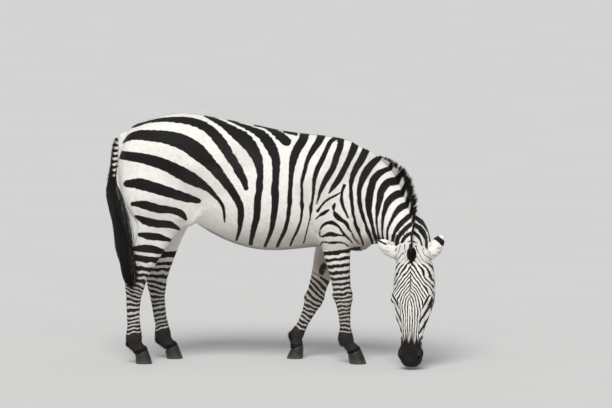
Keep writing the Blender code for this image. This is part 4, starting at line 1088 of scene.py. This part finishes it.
for name, side in (("left", 1), ("right", -1)):
    bpy.ops.object.select_all(action="DESELECT")
    bpy.ops.mesh.primitive_uv_sphere_add(segments=64, ring_count=40, radius=EYE_RADIUS)
    eye = bpy.context.object
    eye.name = f"eyeball_{name}"
    ball = read_points(eye.data)
    rise = 1 + CORNEA_RISE / EYE_RADIUS * fade(ball[:, 2] / EYE_RADIUS, 0.66, 0.93)
    turned = (ball * rise[:, None]) @ np.array((EYE_DUCT, EYE_BROW, EYE_OUT)) + EYE_PLACE
    turned[:, 1] *= side
    write_points(eye.data, turned @ HEAD_AXES + HEAD_AT)
    flat = ball * (1, 1, 0)
    layer = eye.data.attributes.new("gaze", "FLOAT_VECTOR", "POINT")
    layer.data.foreach_set("vector", flat.astype(np.float32).ravel())
    edit_all(eye, (bpy.ops.mesh.normals_make_consistent, {"inside": False}))
    eye.data.shade_smooth()
    eye.data.materials.append(eye_matter)
    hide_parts(f"eye_{name}")
    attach(eye, "root")

# ---- the hooves -------------------------------------------------------------------------------
# Each hoof is a capsule of dark horn, cast round the toe in rings that grow down from the coronet.
# Fine upright tubes run through it, and its edge is worn and dusty.

RING_PITCH = 0.0052
HORN_GRAIN = 0.0022  # the voxel in which the horn is cast
# Hoof horn: dark, half matt, with upright tubes about 1.5 mm apart, and pale dust at its worn edge.
horn, tree, shader = new_material("hoof_horn")
place = add_node(tree, "TexCoord", {}, {}, "Object")
tubes = add_node(tree, "Mapping", {}, {"Vector": place, "Scale": (1.0, 1.0, 0.05)}, "Vector")
streak = add_node(tree, "TexNoise", {}, {"Vector": tubes, "Scale": 700.0, "Detail": 3.0}, "Fac")
patch = add_node(tree, "TexNoise", {}, {"Vector": place, "Scale": 45.0, "Detail": 4.0}, "Fac")
tone = {"Factor": streak, "A": linear("100E0D"), "B": linear("2A2623")}
tone = add_node(tree, "Mix", BLEND, tone, "Result")
height = add_node(tree, "SeparateXYZ", {}, {"Vector": place}, "Z")
worn = add_node(tree, "MapRange", {}, {"Value": height, "From Min": 0.030, "From Max": 0.0}, "Result")
dust = add_node(tree, "Math", {"operation": "MULTIPLY"}, {0: worn, 1: patch}, 0)
final = add_node(tree, "Mix", BLEND, {"Factor": dust, "A": tone, "B": linear("5E564D")}, "Result")
tree.links.new(final, shader.inputs["Base Color"])
shader.inputs["Roughness"].default_value = 0.46
fine = add_node(tree, "Bump", {}, {"Height": streak, "Strength": 0.4, "Distance": 0.0006}, "Normal")
tree.links.new(fine, shader.inputs["Normal"])

for node in sorted(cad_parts):
    if not node.startswith("hoof_"):
        continue
    hoof = welded_copy(node, node.replace("hoof", "horn"))
    cast = hoof.modifiers.new("cast", "REMESH")
    cast.mode = "VOXEL"
    cast.voxel_size = HORN_GRAIN
    worn_round = hoof.modifiers.new("worn", "SMOOTH")
    worn_round.factor = 0.5
    worn_round.iterations = 9
    apply_all(hoof)
    points = read_points(hoof.data)
    normals = read_normals(hoof.data)
    low, high = (np.array(corner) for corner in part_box(node))
    toe = (points[:, 0] - low[0]) / (high[0] - low[0])
    ring_height = points[:, 2] + (1 - toe) * 0.030
    wall = fade(1 - np.abs(normals[:, 2]), 0.25, 0.6)
    rings = np.sin(ring_height * 2 * math.pi / RING_PITCH + 1.5 * wander(points, 0.05, 13))
    chips = -0.0016 * fade(wander(points, 0.012, 19), 0.5, 1.0) * fade(0.010 - points[:, 2], 0, 0.008)
    points += normals * (wall * (0.00042 * rings + 0.0006 * wander(points, 0.03, 15)) + chips)[:, None]
    points[:, 2] = np.maximum(points[:, 2] - points[:, 2].min(), 0)
    write_points(hoof.data, points)
    hoof.data.shade_smooth()
    hoof.data.materials.append(horn)
    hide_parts(node)
    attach(hoof, "root")

# ---- the coat ---------------------------------------------------------------------------------
# The hair itself: thin locks rooted in the skin, which lie flat from the face back along the neck
# and the trunk and down the legs. They are longest on neck and trunk, and shortest on the muzzle.

SKIN_SEED = 21
ABOVE_FLOOR = 0.0012  # a hair that would pass below this is bent by the floor
BAKE_PATCH = 0.003  # the size of each lock's place on the unwrap
corner_index = np.empty(len(skin.data.polygons) * 3, np.int32)
skin.data.polygons.foreach_get("vertices", corner_index)
CORNERS = corner_index.reshape(-1, 3)
bake = np.empty(len(CORNERS) * 6, np.float32)
skin.data.uv_layers["OFBake"].data.foreach_get("uv", bake)
BAKE = bake.reshape(-1, 3, 2).astype(float)
skin_normals = read_normals(skin.data)
edge_one = skin_points[CORNERS[:, 1]] - skin_points[CORNERS[:, 0]]
edge_two = skin_points[CORNERS[:, 2]] - skin_points[CORNERS[:, 0]]
AREAS = np.linalg.norm(np.cross(edge_one, edge_two), axis=1) / 2


def rooted(count, density, seed):
    """Places spread over the skin as the density of each triangle asks: place, normal and bake place."""
    draw = np.random.default_rng(seed)
    chance = AREAS * density
    faces = draw.choice(len(AREAS), count, p=chance / chance.sum())
    r, t = draw.random((2, count))
    r = np.sqrt(r)
    share = np.stack([1 - r, r * (1 - t), r * t], axis=1)[:, :, None]
    ids = CORNERS[faces]
    roots = (skin_points[ids] * share).sum(axis=1)
    outs = unit((skin_normals[ids] * share).sum(axis=1))
    return roots, outs, (BAKE[faces] * share).sum(axis=1)


def lie_of_hair(points):
    """The way that the hair lies at each point, not yet laid on the skin."""
    a, b, c = on_head(points).T
    x, y, z = (points - ORIGIN).T
    face = head_share(points)[:, None]
    ear = ear_share(points)[:, None]
    lie = np.stack([-1.0 + 0 * x, 0 * y, -0.35 - 0.9 * fade(1.0 - z, -0.1, 0.35)], axis=1)
    k = neck_station(points)
    on_neck = fade(x, 0.36, 0.52)[:, None]
    lie = lie * (1 - on_neck) + (-NECK_ALONG[k] - NECK_CREST[k] * 0.35) * on_neck
    down = fade(0.66 - z, 0, 0.12)[:, None] * (x < 0.5)[:, None]
    lie = lie * (1 - down) + np.array((-0.18, 0, -1.0)) * down
    rump = fade(-x, 0.62, 0.80)[:, None]
    lie = lie * (1 - rump) + np.array((-0.25, 0, -1.0)) * rump
    below = fade(a, 0.10, 0.17)[:, None]
    hanging = np.array(DOWN) + np.array(OUT) * (-0.55 * fade(-c, 0.05, 0.10))[:, None]
    hanging = hanging + np.array(LEFT) * (np.sign(b) * 0.25 * fade(np.abs(b), 0.01, 0.05))[:, None]
    rising = np.array(LEFT) * (np.sign(b) * 0.6)[:, None] - np.array(DOWN) * 0.9
    lie = lie * (1 - face) + (hanging * below + rising * (1 - below)) * face
    to_tip = np.where((b > 0)[:, None], EAR_TIPS[0] - EAR_ROOTS[0], EAR_TIPS[1] - EAR_ROOTS[1])
    lie = lie * (1 - ear) + unit(to_tip) * ear
    return lie


def marked_along(spines, follow):
    """The pattern at every place of the spines, read part of the way from their roots."""
    count, steps, _ = spines.shape
    places = spines[:, :1] + (spines - spines[:, :1]) * follow
    fields = markings(places.reshape(-1, 3))
    return {key: np.asarray(values).reshape(count, steps) for key, values in fields.items()}


def locks(name, spines, across, widths, bakes, fields, matter, taper=0.8):
    """One mesh of closed three-sided locks: each runs along its spine from a broad root to a point."""
    count, steps, _ = spines.shape
    rings = steps - 1
    spines = np.concatenate([spines[:, :, :2], np.maximum(spines[:, :, 2:], ABOVE_FLOOR)], axis=2)
    along = unit(np.gradient(spines, axis=1))[:, :rings]
    wide = unit(across[:, None] - along * np.sum(across[:, None] * along, axis=2, keepdims=True))
    high = np.cross(wide, along)
    t = np.arange(rings) / rings
    shape = widths[:, None, None] * ((1 - t) ** taper * (0.55 + 0.45 * np.minimum(t * 4, 1)))[None, :, None]
    middle = spines[:, :rings]
    left = middle - wide * shape / 2 - high * shape * 0.12
    right = middle + wide * shape / 2 - high * shape * 0.12
    top = middle + high * shape * 0.26
    body = np.stack([left, right, top], axis=2).reshape(count, rings * 3, 3)
    verts = np.concatenate([body, spines[:, -1:]], axis=1)
    each = rings * 3 + 1
    steps_up = [(r * 3, i, (i + 1) % 3) for r in range(rings - 1) for i in range(3)]
    quads = [(low + i, low + j, low + 3 + j, low + 3 + i) for low, i, j in steps_up]
    last = (rings - 1) * 3
    tris = [(last, last + 1, each - 1), (last + 1, last + 2, each - 1), (last + 2, last, each - 1), (2, 1, 0)]
    one = [corner for shape_of in quads + tris for corner in shape_of]
    sizes = [4] * len(quads) + [3] * len(tris)
    mesh = bpy.data.meshes.new(name)
    mesh.vertices.add(count * each)
    mesh.vertices.foreach_set("co", verts.astype(np.float32).ravel())
    loops = (np.array(one)[None] + np.arange(count)[:, None] * each).ravel()
    mesh.loops.add(len(loops))
    mesh.loops.foreach_set("vertex_index", loops.astype(np.int32))
    mesh.polygons.add(count * len(sizes))
    starts = np.concatenate([[0], np.cumsum(sizes)[:-1]])
    starts = (starts[None] + np.arange(count)[:, None] * len(one)).ravel()
    mesh.polygons.foreach_set("loop_start", starts.astype(np.int32))
    mesh.update(calc_edges=True)
    mesh.validate()
    side = np.array([(-0.5, 0.5, 0.0)[i % 3] for i in range(rings * 3)] + [0.0])
    reach = np.array([i // 3 / rings for i in range(rings * 3)] + [1.0])
    patch = np.stack([side, reach - 0.5], axis=1) * BAKE_PATCH
    flat = (bakes[:, None] + patch[None]).reshape(-1, 2)
    layer = mesh.uv_layers.new(name="OFBake")
    layer.data.foreach_set("uv", np.clip(flat[loops], 0.0005, 0.9995).astype(np.float32).ravel())
    step_of = np.array([i // 3 for i in range(rings * 3)] + [rings])
    for key, values in fields.items():
        values = values[:, step_of].ravel() if values.ndim == 2 else np.repeat(values, each)
        mark(mesh, {key: values})
    mark(mesh, {"reach": np.tile(reach, count)})
    thing = bpy.data.objects.new(name, mesh)
    bpy.context.scene.collection.objects.link(thing)
    mesh.materials.append(matter)
    mesh.shade_smooth()
    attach(thing, "root")
    return thing


def laid(roots, outs, lengths, lift, seed, steps=3, sink=0.0004, stray=0.13):
    """Spines of short locks that start in the skin and lie along the hair's way, a little askew."""
    draw = np.random.default_rng(seed)
    lie = lie_of_hair(roots) + draw.normal(0, stray, (len(roots), 3))
    lie = unit(lie - outs * np.sum(lie * outs, axis=1, keepdims=True))
    t = np.linspace(0, 1, steps)[None, :, None]
    rise = (np.asarray(lift) * np.ones(len(roots)) * draw.uniform(0.7, 1.35, len(roots)))[:, None, None]
    length = lengths[:, None, None]
    hump = rise * length * (1.9 * t - 0.9 * t**2)
    spines = (roots - outs * sink)[:, None] + lie[:, None] * length * t + outs[:, None] * hump
    return spines, np.cross(lie, outs)


# Coat hair: the hide's own colours and sheen, without bump, because each lock is a form of its own.
coat_hair = coat_material("zebra_coat_hair", False)
centre = skin_points[CORNERS].mean(axis=1)
x, y, z = (centre - ORIGIN).T
face_zone = head_share(centre)
ear_zone = ear_share(centre)
leg_zone = fade(0.62 - z, 0, 0.1) * (x < 0.5)
neck_zone = (x > 0.42) * (1 - face_zone)
zones = {
    "coat_head": (face_zone * (1 - ear_zone), 17000, 0.0052, 0.0009, 0.07),
    "coat_ears": (ear_zone, 4600, 0.0080, 0.0011, 0.08),
    "coat_legs": (leg_zone, 17000, 0.0085, 0.0012, 0.07),
    "coat_neck": (neck_zone * (1 - ear_zone), 14500, 0.0125, 0.0016, 0.07),
    "coat_rump": ((x < -0.55) * (1 - leg_zone), 13000, 0.0120, 0.0017, 0.06),
    "coat_thigh": ((x >= -0.55) * (x < -0.30) * (1 - leg_zone), 12000, 0.0120, 0.0017, 0.06),
    "coat_barrel": ((x >= -0.30) * (x <= 0.10) * (1 - leg_zone), 17500, 0.0120, 0.0017, 0.06),
    "coat_shoulder": ((x > 0.10) * (x <= 0.42) * (1 - leg_zone), 13000, 0.0120, 0.0017, 0.06),
}
for number, (name, (density, count, length, width, lift)) in enumerate(zones.items()):
    roots, outs, bakes = rooted(count, density, SKIN_SEED + number)
    draw = np.random.default_rng(50 + number)
    long = length * draw.uniform(0.75, 1.3, count)
    if name == "coat_head":
        a = on_head(roots)[:, 0]
        long = long * (1 - 0.42 * fade(a, 0.42, 0.52)) * (1 + 0.5 * fade(0.10 - a, 0, 0.05))
    spines, across = laid(roots, outs, long, lift, 80 + number)
    widths = width * draw.uniform(0.7, 1.25, count)
    fields = marked_along(spines, 0.6)
    locks(name, spines, across, widths, bakes, fields, coat_hair)

# ---- the mane ---------------------------------------------------------------------------------
# Stiff hair that stands along the crest of the neck like a brush. It carries the neck's own bands
# up from the skin, is black at its tips, and parts into small points.

MANE_FROM = 0.20
MANE_TO = 0.97
MANE_HEIGHT = 0.074
MANE_LOCKS = 4600
MANE_CLUMP = 0.011
CREST_HALF = 0.0135  # half the breadth of the mane's root

skin_tree = BVHTree.FromObject(skin, bpy.context.evaluated_depsgraph_get())


def neck_place(share):
    """The neck's line, its way along, its crest and its left, at a share of its length."""
    share = np.asarray(share) * (len(NECK_LINE) - 1)
    k = np.clip(share.astype(int), 0, len(NECK_LINE) - 2)
    t = (share - k)[:, None]
    return [rows[k] * (1 - t) + rows[k + 1] * t for rows in (NECK_LINE, NECK_ALONG, NECK_CREST, NECK_SIDE)]


def dropped(starts, ways):
    """Where rays meet the skin: place, and the nearest bake place there."""
    places = np.array(starts, float)
    bakes = np.full((len(places), 2), 0.5)
    for k, (start, way) in enumerate(zip(starts, ways)):
        hit, _, face, _ = skin_tree.ray_cast(Vector(start), Vector(way))
        if hit is not None:
            places[k] = hit
            bakes[k] = BAKE[face].mean(axis=0)
    return places, bakes


draw = np.random.default_rng(301)
share = draw.uniform(MANE_FROM, MANE_TO, MANE_LOCKS)
narrow = 1 - 0.76 * fade(share, 0.58, 0.76)
across_crest = np.clip(draw.normal(0, 0.0070, MANE_LOCKS), -CREST_HALF, CREST_HALF) * narrow
line, along, crest, left = neck_place(share)
roots, bakes = dropped(line + crest * ABOVE_NECK + left * across_crest[:, None], -crest)
profile = (0.20, 0.25, 0.33, 0.45, 0.66, 0.82, 0.97), (0.12, 0.55, 0.92, 1.05, 1.0, 0.66, 0.42)
profile = np.interp(share, *profile)
height = MANE_HEIGHT * profile * draw.uniform(0.84, 1.04, MANE_LOCKS) + 0.004
neck_length = float(np.linalg.norm(np.diff(NECK_LINE, axis=0), axis=1).sum())
clump = np.round(share * neck_length / MANE_CLUMP + 0.35 * np.sin(across_crest * 300))
clump_share = clump * MANE_CLUMP / neck_length
lean = (clump_share - share) * neck_length / height * 0.55 + draw.normal(0, 0.04, MANE_LOCKS)
clump_lean = 0.10 * np.sin(clump * 2.3) + 0.07 * np.sin(clump * 5.1 + 1)
splay = (0.05 * np.sin(clump * 3.7) + draw.normal(0, 0.03, MANE_LOCKS)) * narrow
splay += across_crest / CREST_HALF * 0.16
way = crest + along * (lean + clump_lean)[:, None] + left * splay[:, None]
t = np.linspace(0, 1, 7)[None, :, None]
bend = 0.10 * np.sin(clump * 1.7)[:, None, None] * along[:, None] * t**2
spines = (roots - crest * 0.003)[:, None] + (way[:, None] * t + bend * t) * height[:, None, None]
# Mane hair: the coat's own hair grown long and stiff, matt, and black in its last third.
mane_hair = coat_material("mane_hair", False, dark_tips=True)
fields = markings(roots)
widths = 0.0030 * draw.uniform(0.7, 1.2, MANE_LOCKS)
mane = locks("mane_locks", spines, left, widths, bakes, fields, mane_hair, 0.65)
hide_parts("mane")

# ---- the forelock -----------------------------------------------------------------------------
# The mane's last tuft falls between the ears on to the brow, as one black drop.

FORELOCK_LOCKS = 420
FORELOCK_STEPS = 8
FORELOCK_REACH = 0.068
FORELOCK_HALF = 0.0185
# Black long hair: coarse and faintly glossy, browner in some strands, a few of them pale.
black_hair, tree, shader = new_material("black_long_hair")
place = add_node(tree, "TexCoord", {}, {}, "Object")
strand = add_node(tree, "TexNoise", {}, {"Vector": place, "Scale": 160.0, "Detail": 3.0}, "Fac")
pale = add_node(tree, "Attribute", {"attribute_name": "pale"}, {}, "Fac")
tone = {"Factor": strand, "A": linear("080706"), "B": linear("1A1614")}
tone = add_node(tree, "Mix", BLEND, tone, "Result")
final = add_node(tree, "Mix", BLEND, {"Factor": pale, "A": tone, "B": linear("C9C2B7")}, "Result")
tree.links.new(final, shader.inputs["Base Color"])
shader.inputs["Roughness"].default_value = 0.5
shader.inputs["Specular IOR Level"].default_value = 0.25

draw = np.random.default_rng(302)
down_from = draw.uniform(-0.026, 0.016, FORELOCK_LOCKS)
aside = draw.uniform(-FORELOCK_HALF, FORELOCK_HALF, FORELOCK_LOCKS)
down_to = FORELOCK_REACH - np.abs(aside) * 0.9 - draw.exponential(0.010, FORELOCK_LOCKS)
down_to = np.maximum(down_to, down_from + 0.012)
t = np.linspace(0, 1, FORELOCK_STEPS)[None, :]
a = down_from[:, None] + (down_to - down_from)[:, None] * t
drop_shape = 0.62 + 0.80 * np.sin(np.pi * np.minimum(t * 1.25, 1)) - 0.35 * t
b = aside[:, None] * drop_shape + draw.normal(0, 0.0010, FORELOCK_LOCKS)[:, None] * t
above = np.full(a.shape, 0.12)
starts = (np.stack([a, b, above], axis=2).reshape(-1, 3) @ HEAD_AXES) + HEAD_AT
met, bakes = dropped(starts, np.tile(-np.array(OUT), (len(starts), 1)))
loft = draw.uniform(0.0005, 0.0105, FORELOCK_LOCKS)[:, None]
loft = loft * np.sin(np.pi * np.clip(t * 0.92 + 0.04, 0, 1)) ** 0.7
met = met.reshape(FORELOCK_LOCKS, FORELOCK_STEPS, 3)
spines = met + np.array(OUT) * (loft - 0.002 * (t == 0))[:, :, None]
widths = 0.0030 * draw.uniform(0.6, 1.2, FORELOCK_LOCKS)
bakes = bakes.reshape(FORELOCK_LOCKS, FORELOCK_STEPS, 2)[:, 0]
fields = {"pale": np.zeros(FORELOCK_LOCKS)}
sideways = np.tile(np.array(LEFT), (FORELOCK_LOCKS, 1))
forelock = locks("forelock_locks", spines, sideways, widths, bakes, fields, black_hair, 0.6)
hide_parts("forelock")

# ---- the tail's switch ------------------------------------------------------------------------
# Long black hair grows from the lower half of the dock, hangs past the hocks and sways a little
# to the near side. A few pale strands lie along its rear.

SWITCH_LOCKS = 1750
SWITCH = [  # place, half thickness, half breadth
    ((-0.838, -0.010, 1.060), 0.017, 0.021),
    ((-0.852, -0.024, 0.955), 0.025, 0.025),
    ((-0.848, -0.038, 0.895), 0.033, 0.027),
    ((-0.828, -0.066, 0.826), 0.039, 0.031),
    ((-0.800, -0.108, 0.714), 0.042, 0.034),
    ((-0.785, -0.152, 0.602), 0.040, 0.032),
    ((-0.770, -0.184, 0.520), 0.033, 0.027),
    ((-0.755, -0.200, 0.450), 0.025, 0.021),
    ((-0.742, -0.206, 0.402), 0.006, 0.006),
]
draw = np.random.default_rng(303)
begin = draw.uniform(0.02, 0.26, SWITCH_LOCKS)
end = np.clip(1.0 - draw.exponential(0.13, SWITCH_LOCKS), 0.50, 1.0)
steps = 12
t = begin[:, None] + (end - begin)[:, None] * np.linspace(0, 1, steps)[None]
rows = [(*place, thick, broad) for place, thick, broad in SWITCH]
rows = through(np.linspace(0, 1, len(SWITCH)), rows, t.ravel())
rows = rows.reshape(SWITCH_LOCKS, steps, 5)
line = rows[:, :, :3] + ORIGIN
tangent = unit(np.gradient(line, axis=1))
broad_way = unit(np.array((0.0, 1.0, 0.0)) - tangent * tangent[:, :, 1:2])
thick_way = np.cross(tangent, broad_way)
turn = draw.uniform(0, 2 * math.pi, SWITCH_LOCKS)[:, None]
out = (draw.uniform(0.10, 1.0, SWITCH_LOCKS) ** 0.5)[:, None]
out = out * (0.72 + 0.28 * np.minimum((t - begin[:, None]) * 8, 1))
stray = (draw.random(SWITCH_LOCKS) < 0.18)[:, None] * draw.uniform(0.3, 1.3, SWITCH_LOCKS)[:, None]
sway = 0.13 * np.sin(t * 9 + turn * 3) + 0.08 * np.sin(t * 23 + turn * 5)
sway = sway + stray * np.linspace(0, 1, steps)[None] ** 2
tress = np.floor(turn / (2 * math.pi) * 13)
sway = sway + 0.24 * np.sin(tress * 2.4 + 1) * t**2 + 0.10 * np.sin(tress * 4.1 + t * 7) * t
spines = line + thick_way * (rows[:, :, 3] * (out * np.sin(turn) + sway))[:, :, None]
spines = spines + broad_way * (rows[:, :, 4] * (out * np.cos(turn) + sway * 0.7))[:, :, None]
outward = thick_way[:, 0] * np.sin(turn) + broad_way[:, 0] * np.cos(turn)
_, dock_bakes = dropped(line[:, 0] + outward * 0.2, -outward)
widths = 0.0031 * draw.uniform(0.6, 1.25, SWITCH_LOCKS)
at_rear = np.sin(turn[:, 0]) * np.sign(-thick_way[:, 0, 0]) < -0.55
pale = {"pale": (at_rear & (draw.random(SWITCH_LOCKS) < 0.08)) * 0.6}
flat_way = np.cross(outward, tangent[:, 0])
switch = locks("switch_locks", spines, flat_way, widths, dock_bakes, pale, black_hair, 0.5)
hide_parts("tail_switch")

# ---- fringes, feelers and lashes --------------------------------------------------------------
# Longer hair breaks the outline in a few places: inside the ears, behind the fetlocks, over the top
# of each hoof, and down the rear of the dock. Stiff feelers stand on the lips, and lashes over the eyes.

draw = np.random.default_rng(304)


def fringe(name, density, count, seeds, lengths, lift, width, stray, pale=0.0):
    """A mesh of longer hairs rooted where the density says; pale is one value, or one for each root."""
    roots, outs, bakes = rooted(count, density, seeds[0])
    long = draw.uniform(*lengths, count)
    spines, across = laid(roots, outs, long, lift, seeds[1], steps=4, stray=stray)
    widths = width * draw.uniform(0.7, 1.2, count)
    pale = pale(roots) if callable(pale) else np.full(count, pale)
    locks(name, spines, across, widths, bakes, {"pale": pale}, black_hair)


def ear_paleness(roots):
    """The ears' lining is nearly white, and greyer towards the tips."""
    return np.clip(0.92 - 0.5 * fade(ear_along(roots), 0.75, 1.0), 0, 1)


ahead, _, above_floor = (centre - ORIGIN).T
face_out = unit(np.cross(edge_one, edge_two))
inside_ear = ear_zone * (face_out @ np.array(OUT) < -0.15)
behind_fetlock = np.zeros(len(CORNERS))
over_hoof = np.zeros(len(CORNERS))
for leg in LEGS:
    up, forward, aside = leg_line(centre, leg)
    near = (np.abs(aside) < 0.08) & (np.abs(forward) < 0.10) & (up < 0.2)
    behind_fetlock += near * bell(up - 0.120, 0.014) * (face_out[:, 0] < -0.55)
    over_hoof += near * (up < 0.084) * (np.abs(face_out[:, 2]) < 0.8)
rear_of_dock = (ahead < -0.822) * (above_floor > 0.93) * fade(-face_out[:, 0], 0.1, 0.6)
fringe("ear_lining", inside_ear, 1500, (305, 306), (0.010, 0.020), 0.45, 0.0011, 0.3, ear_paleness)
fringe("fetlock_hair", behind_fetlock, 900, (1207, 308), (0.014, 0.026), 0.22, 0.0016, 0.16)
fringe("coronet_hair", over_hoof, 2000, (2307, 308), (0.008, 0.013), 0.16, 0.0014, 0.16)
fringe("dock_fringe", rear_of_dock, 420, (311, 312), (0.018, 0.036), 0.20, 0.0020, 0.22)

# feelers on lips and chin
FEELERS = 110
places = on_head(centre)
by_mouth = np.linalg.norm(places - np.array((0.58, 0, -0.08)), axis=1) < 0.075
roots, outs, bakes = rooted(FEELERS, face_zone * fade(places[:, 0], 0.535, 0.575) * by_mouth, 309)
long = draw.uniform(0.012, 0.034, FEELERS)
t = np.linspace(0, 1, 6)[None, :, None]
droop = np.array((0, 0, -0.175))
spines = roots[:, None] + (outs[:, None] * (t - 0.15 * t**2) + droop * t**2) * long[:, None, None]
across = np.cross(outs, (0.3, 0.2, 1.0))
dark = {"pale": np.zeros(FEELERS)}
locks("lip_feelers", spines, across, np.full(FEELERS, 0.0007), bakes, dark, black_hair)

# lashes on the upper lids, which curve out and down
LASHES = 50
for name, side in (("left", 1), ("right", -1)):
    u = draw.uniform(-0.0150, 0.0120, LASHES)
    upper, _ = lid_edges(u)
    rise = upper + draw.uniform(0.0002, 0.0016, LASHES)
    depth = np.sqrt(np.maximum((EYE_RADIUS + 0.0018) ** 2 - u**2 - rise**2, 1e-6))
    root = np.stack([u, rise, depth], axis=1) @ np.array((EYE_DUCT, EYE_BROW, EYE_OUT)) + EYE_PLACE
    t = np.linspace(0, 1, 7)[None, :, None]
    long = draw.uniform(0.007, 0.012, LASHES)[:, None, None]
    fan_out = (u / 0.02)[:, None] * EYE_DUCT * 0.45
    curve = (EYE_OUT * 0.95 + fan_out)[:, None] * t + EYE_BROW * (0.10 * t - 0.62 * t**2)
    spines = root[:, None] - EYE_OUT * 0.001 + curve * long
    spines[:, :, 1] *= side
    spines = spines @ HEAD_AXES + HEAD_AT
    sideways = np.tile(EYE_DUCT * (1, side, 1) @ HEAD_AXES, (LASHES, 1))
    outside = np.array(LEFT) * side
    _, bakes = dropped(spines[:, 0] + outside * 0.03, np.tile(-outside, (LASHES, 1)))
    dark = {"pale": np.zeros(LASHES)}
    locks(f"lashes_{name}", spines, sideways, np.full(LASHES, 0.0006), bakes, dark, black_hair)

low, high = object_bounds()
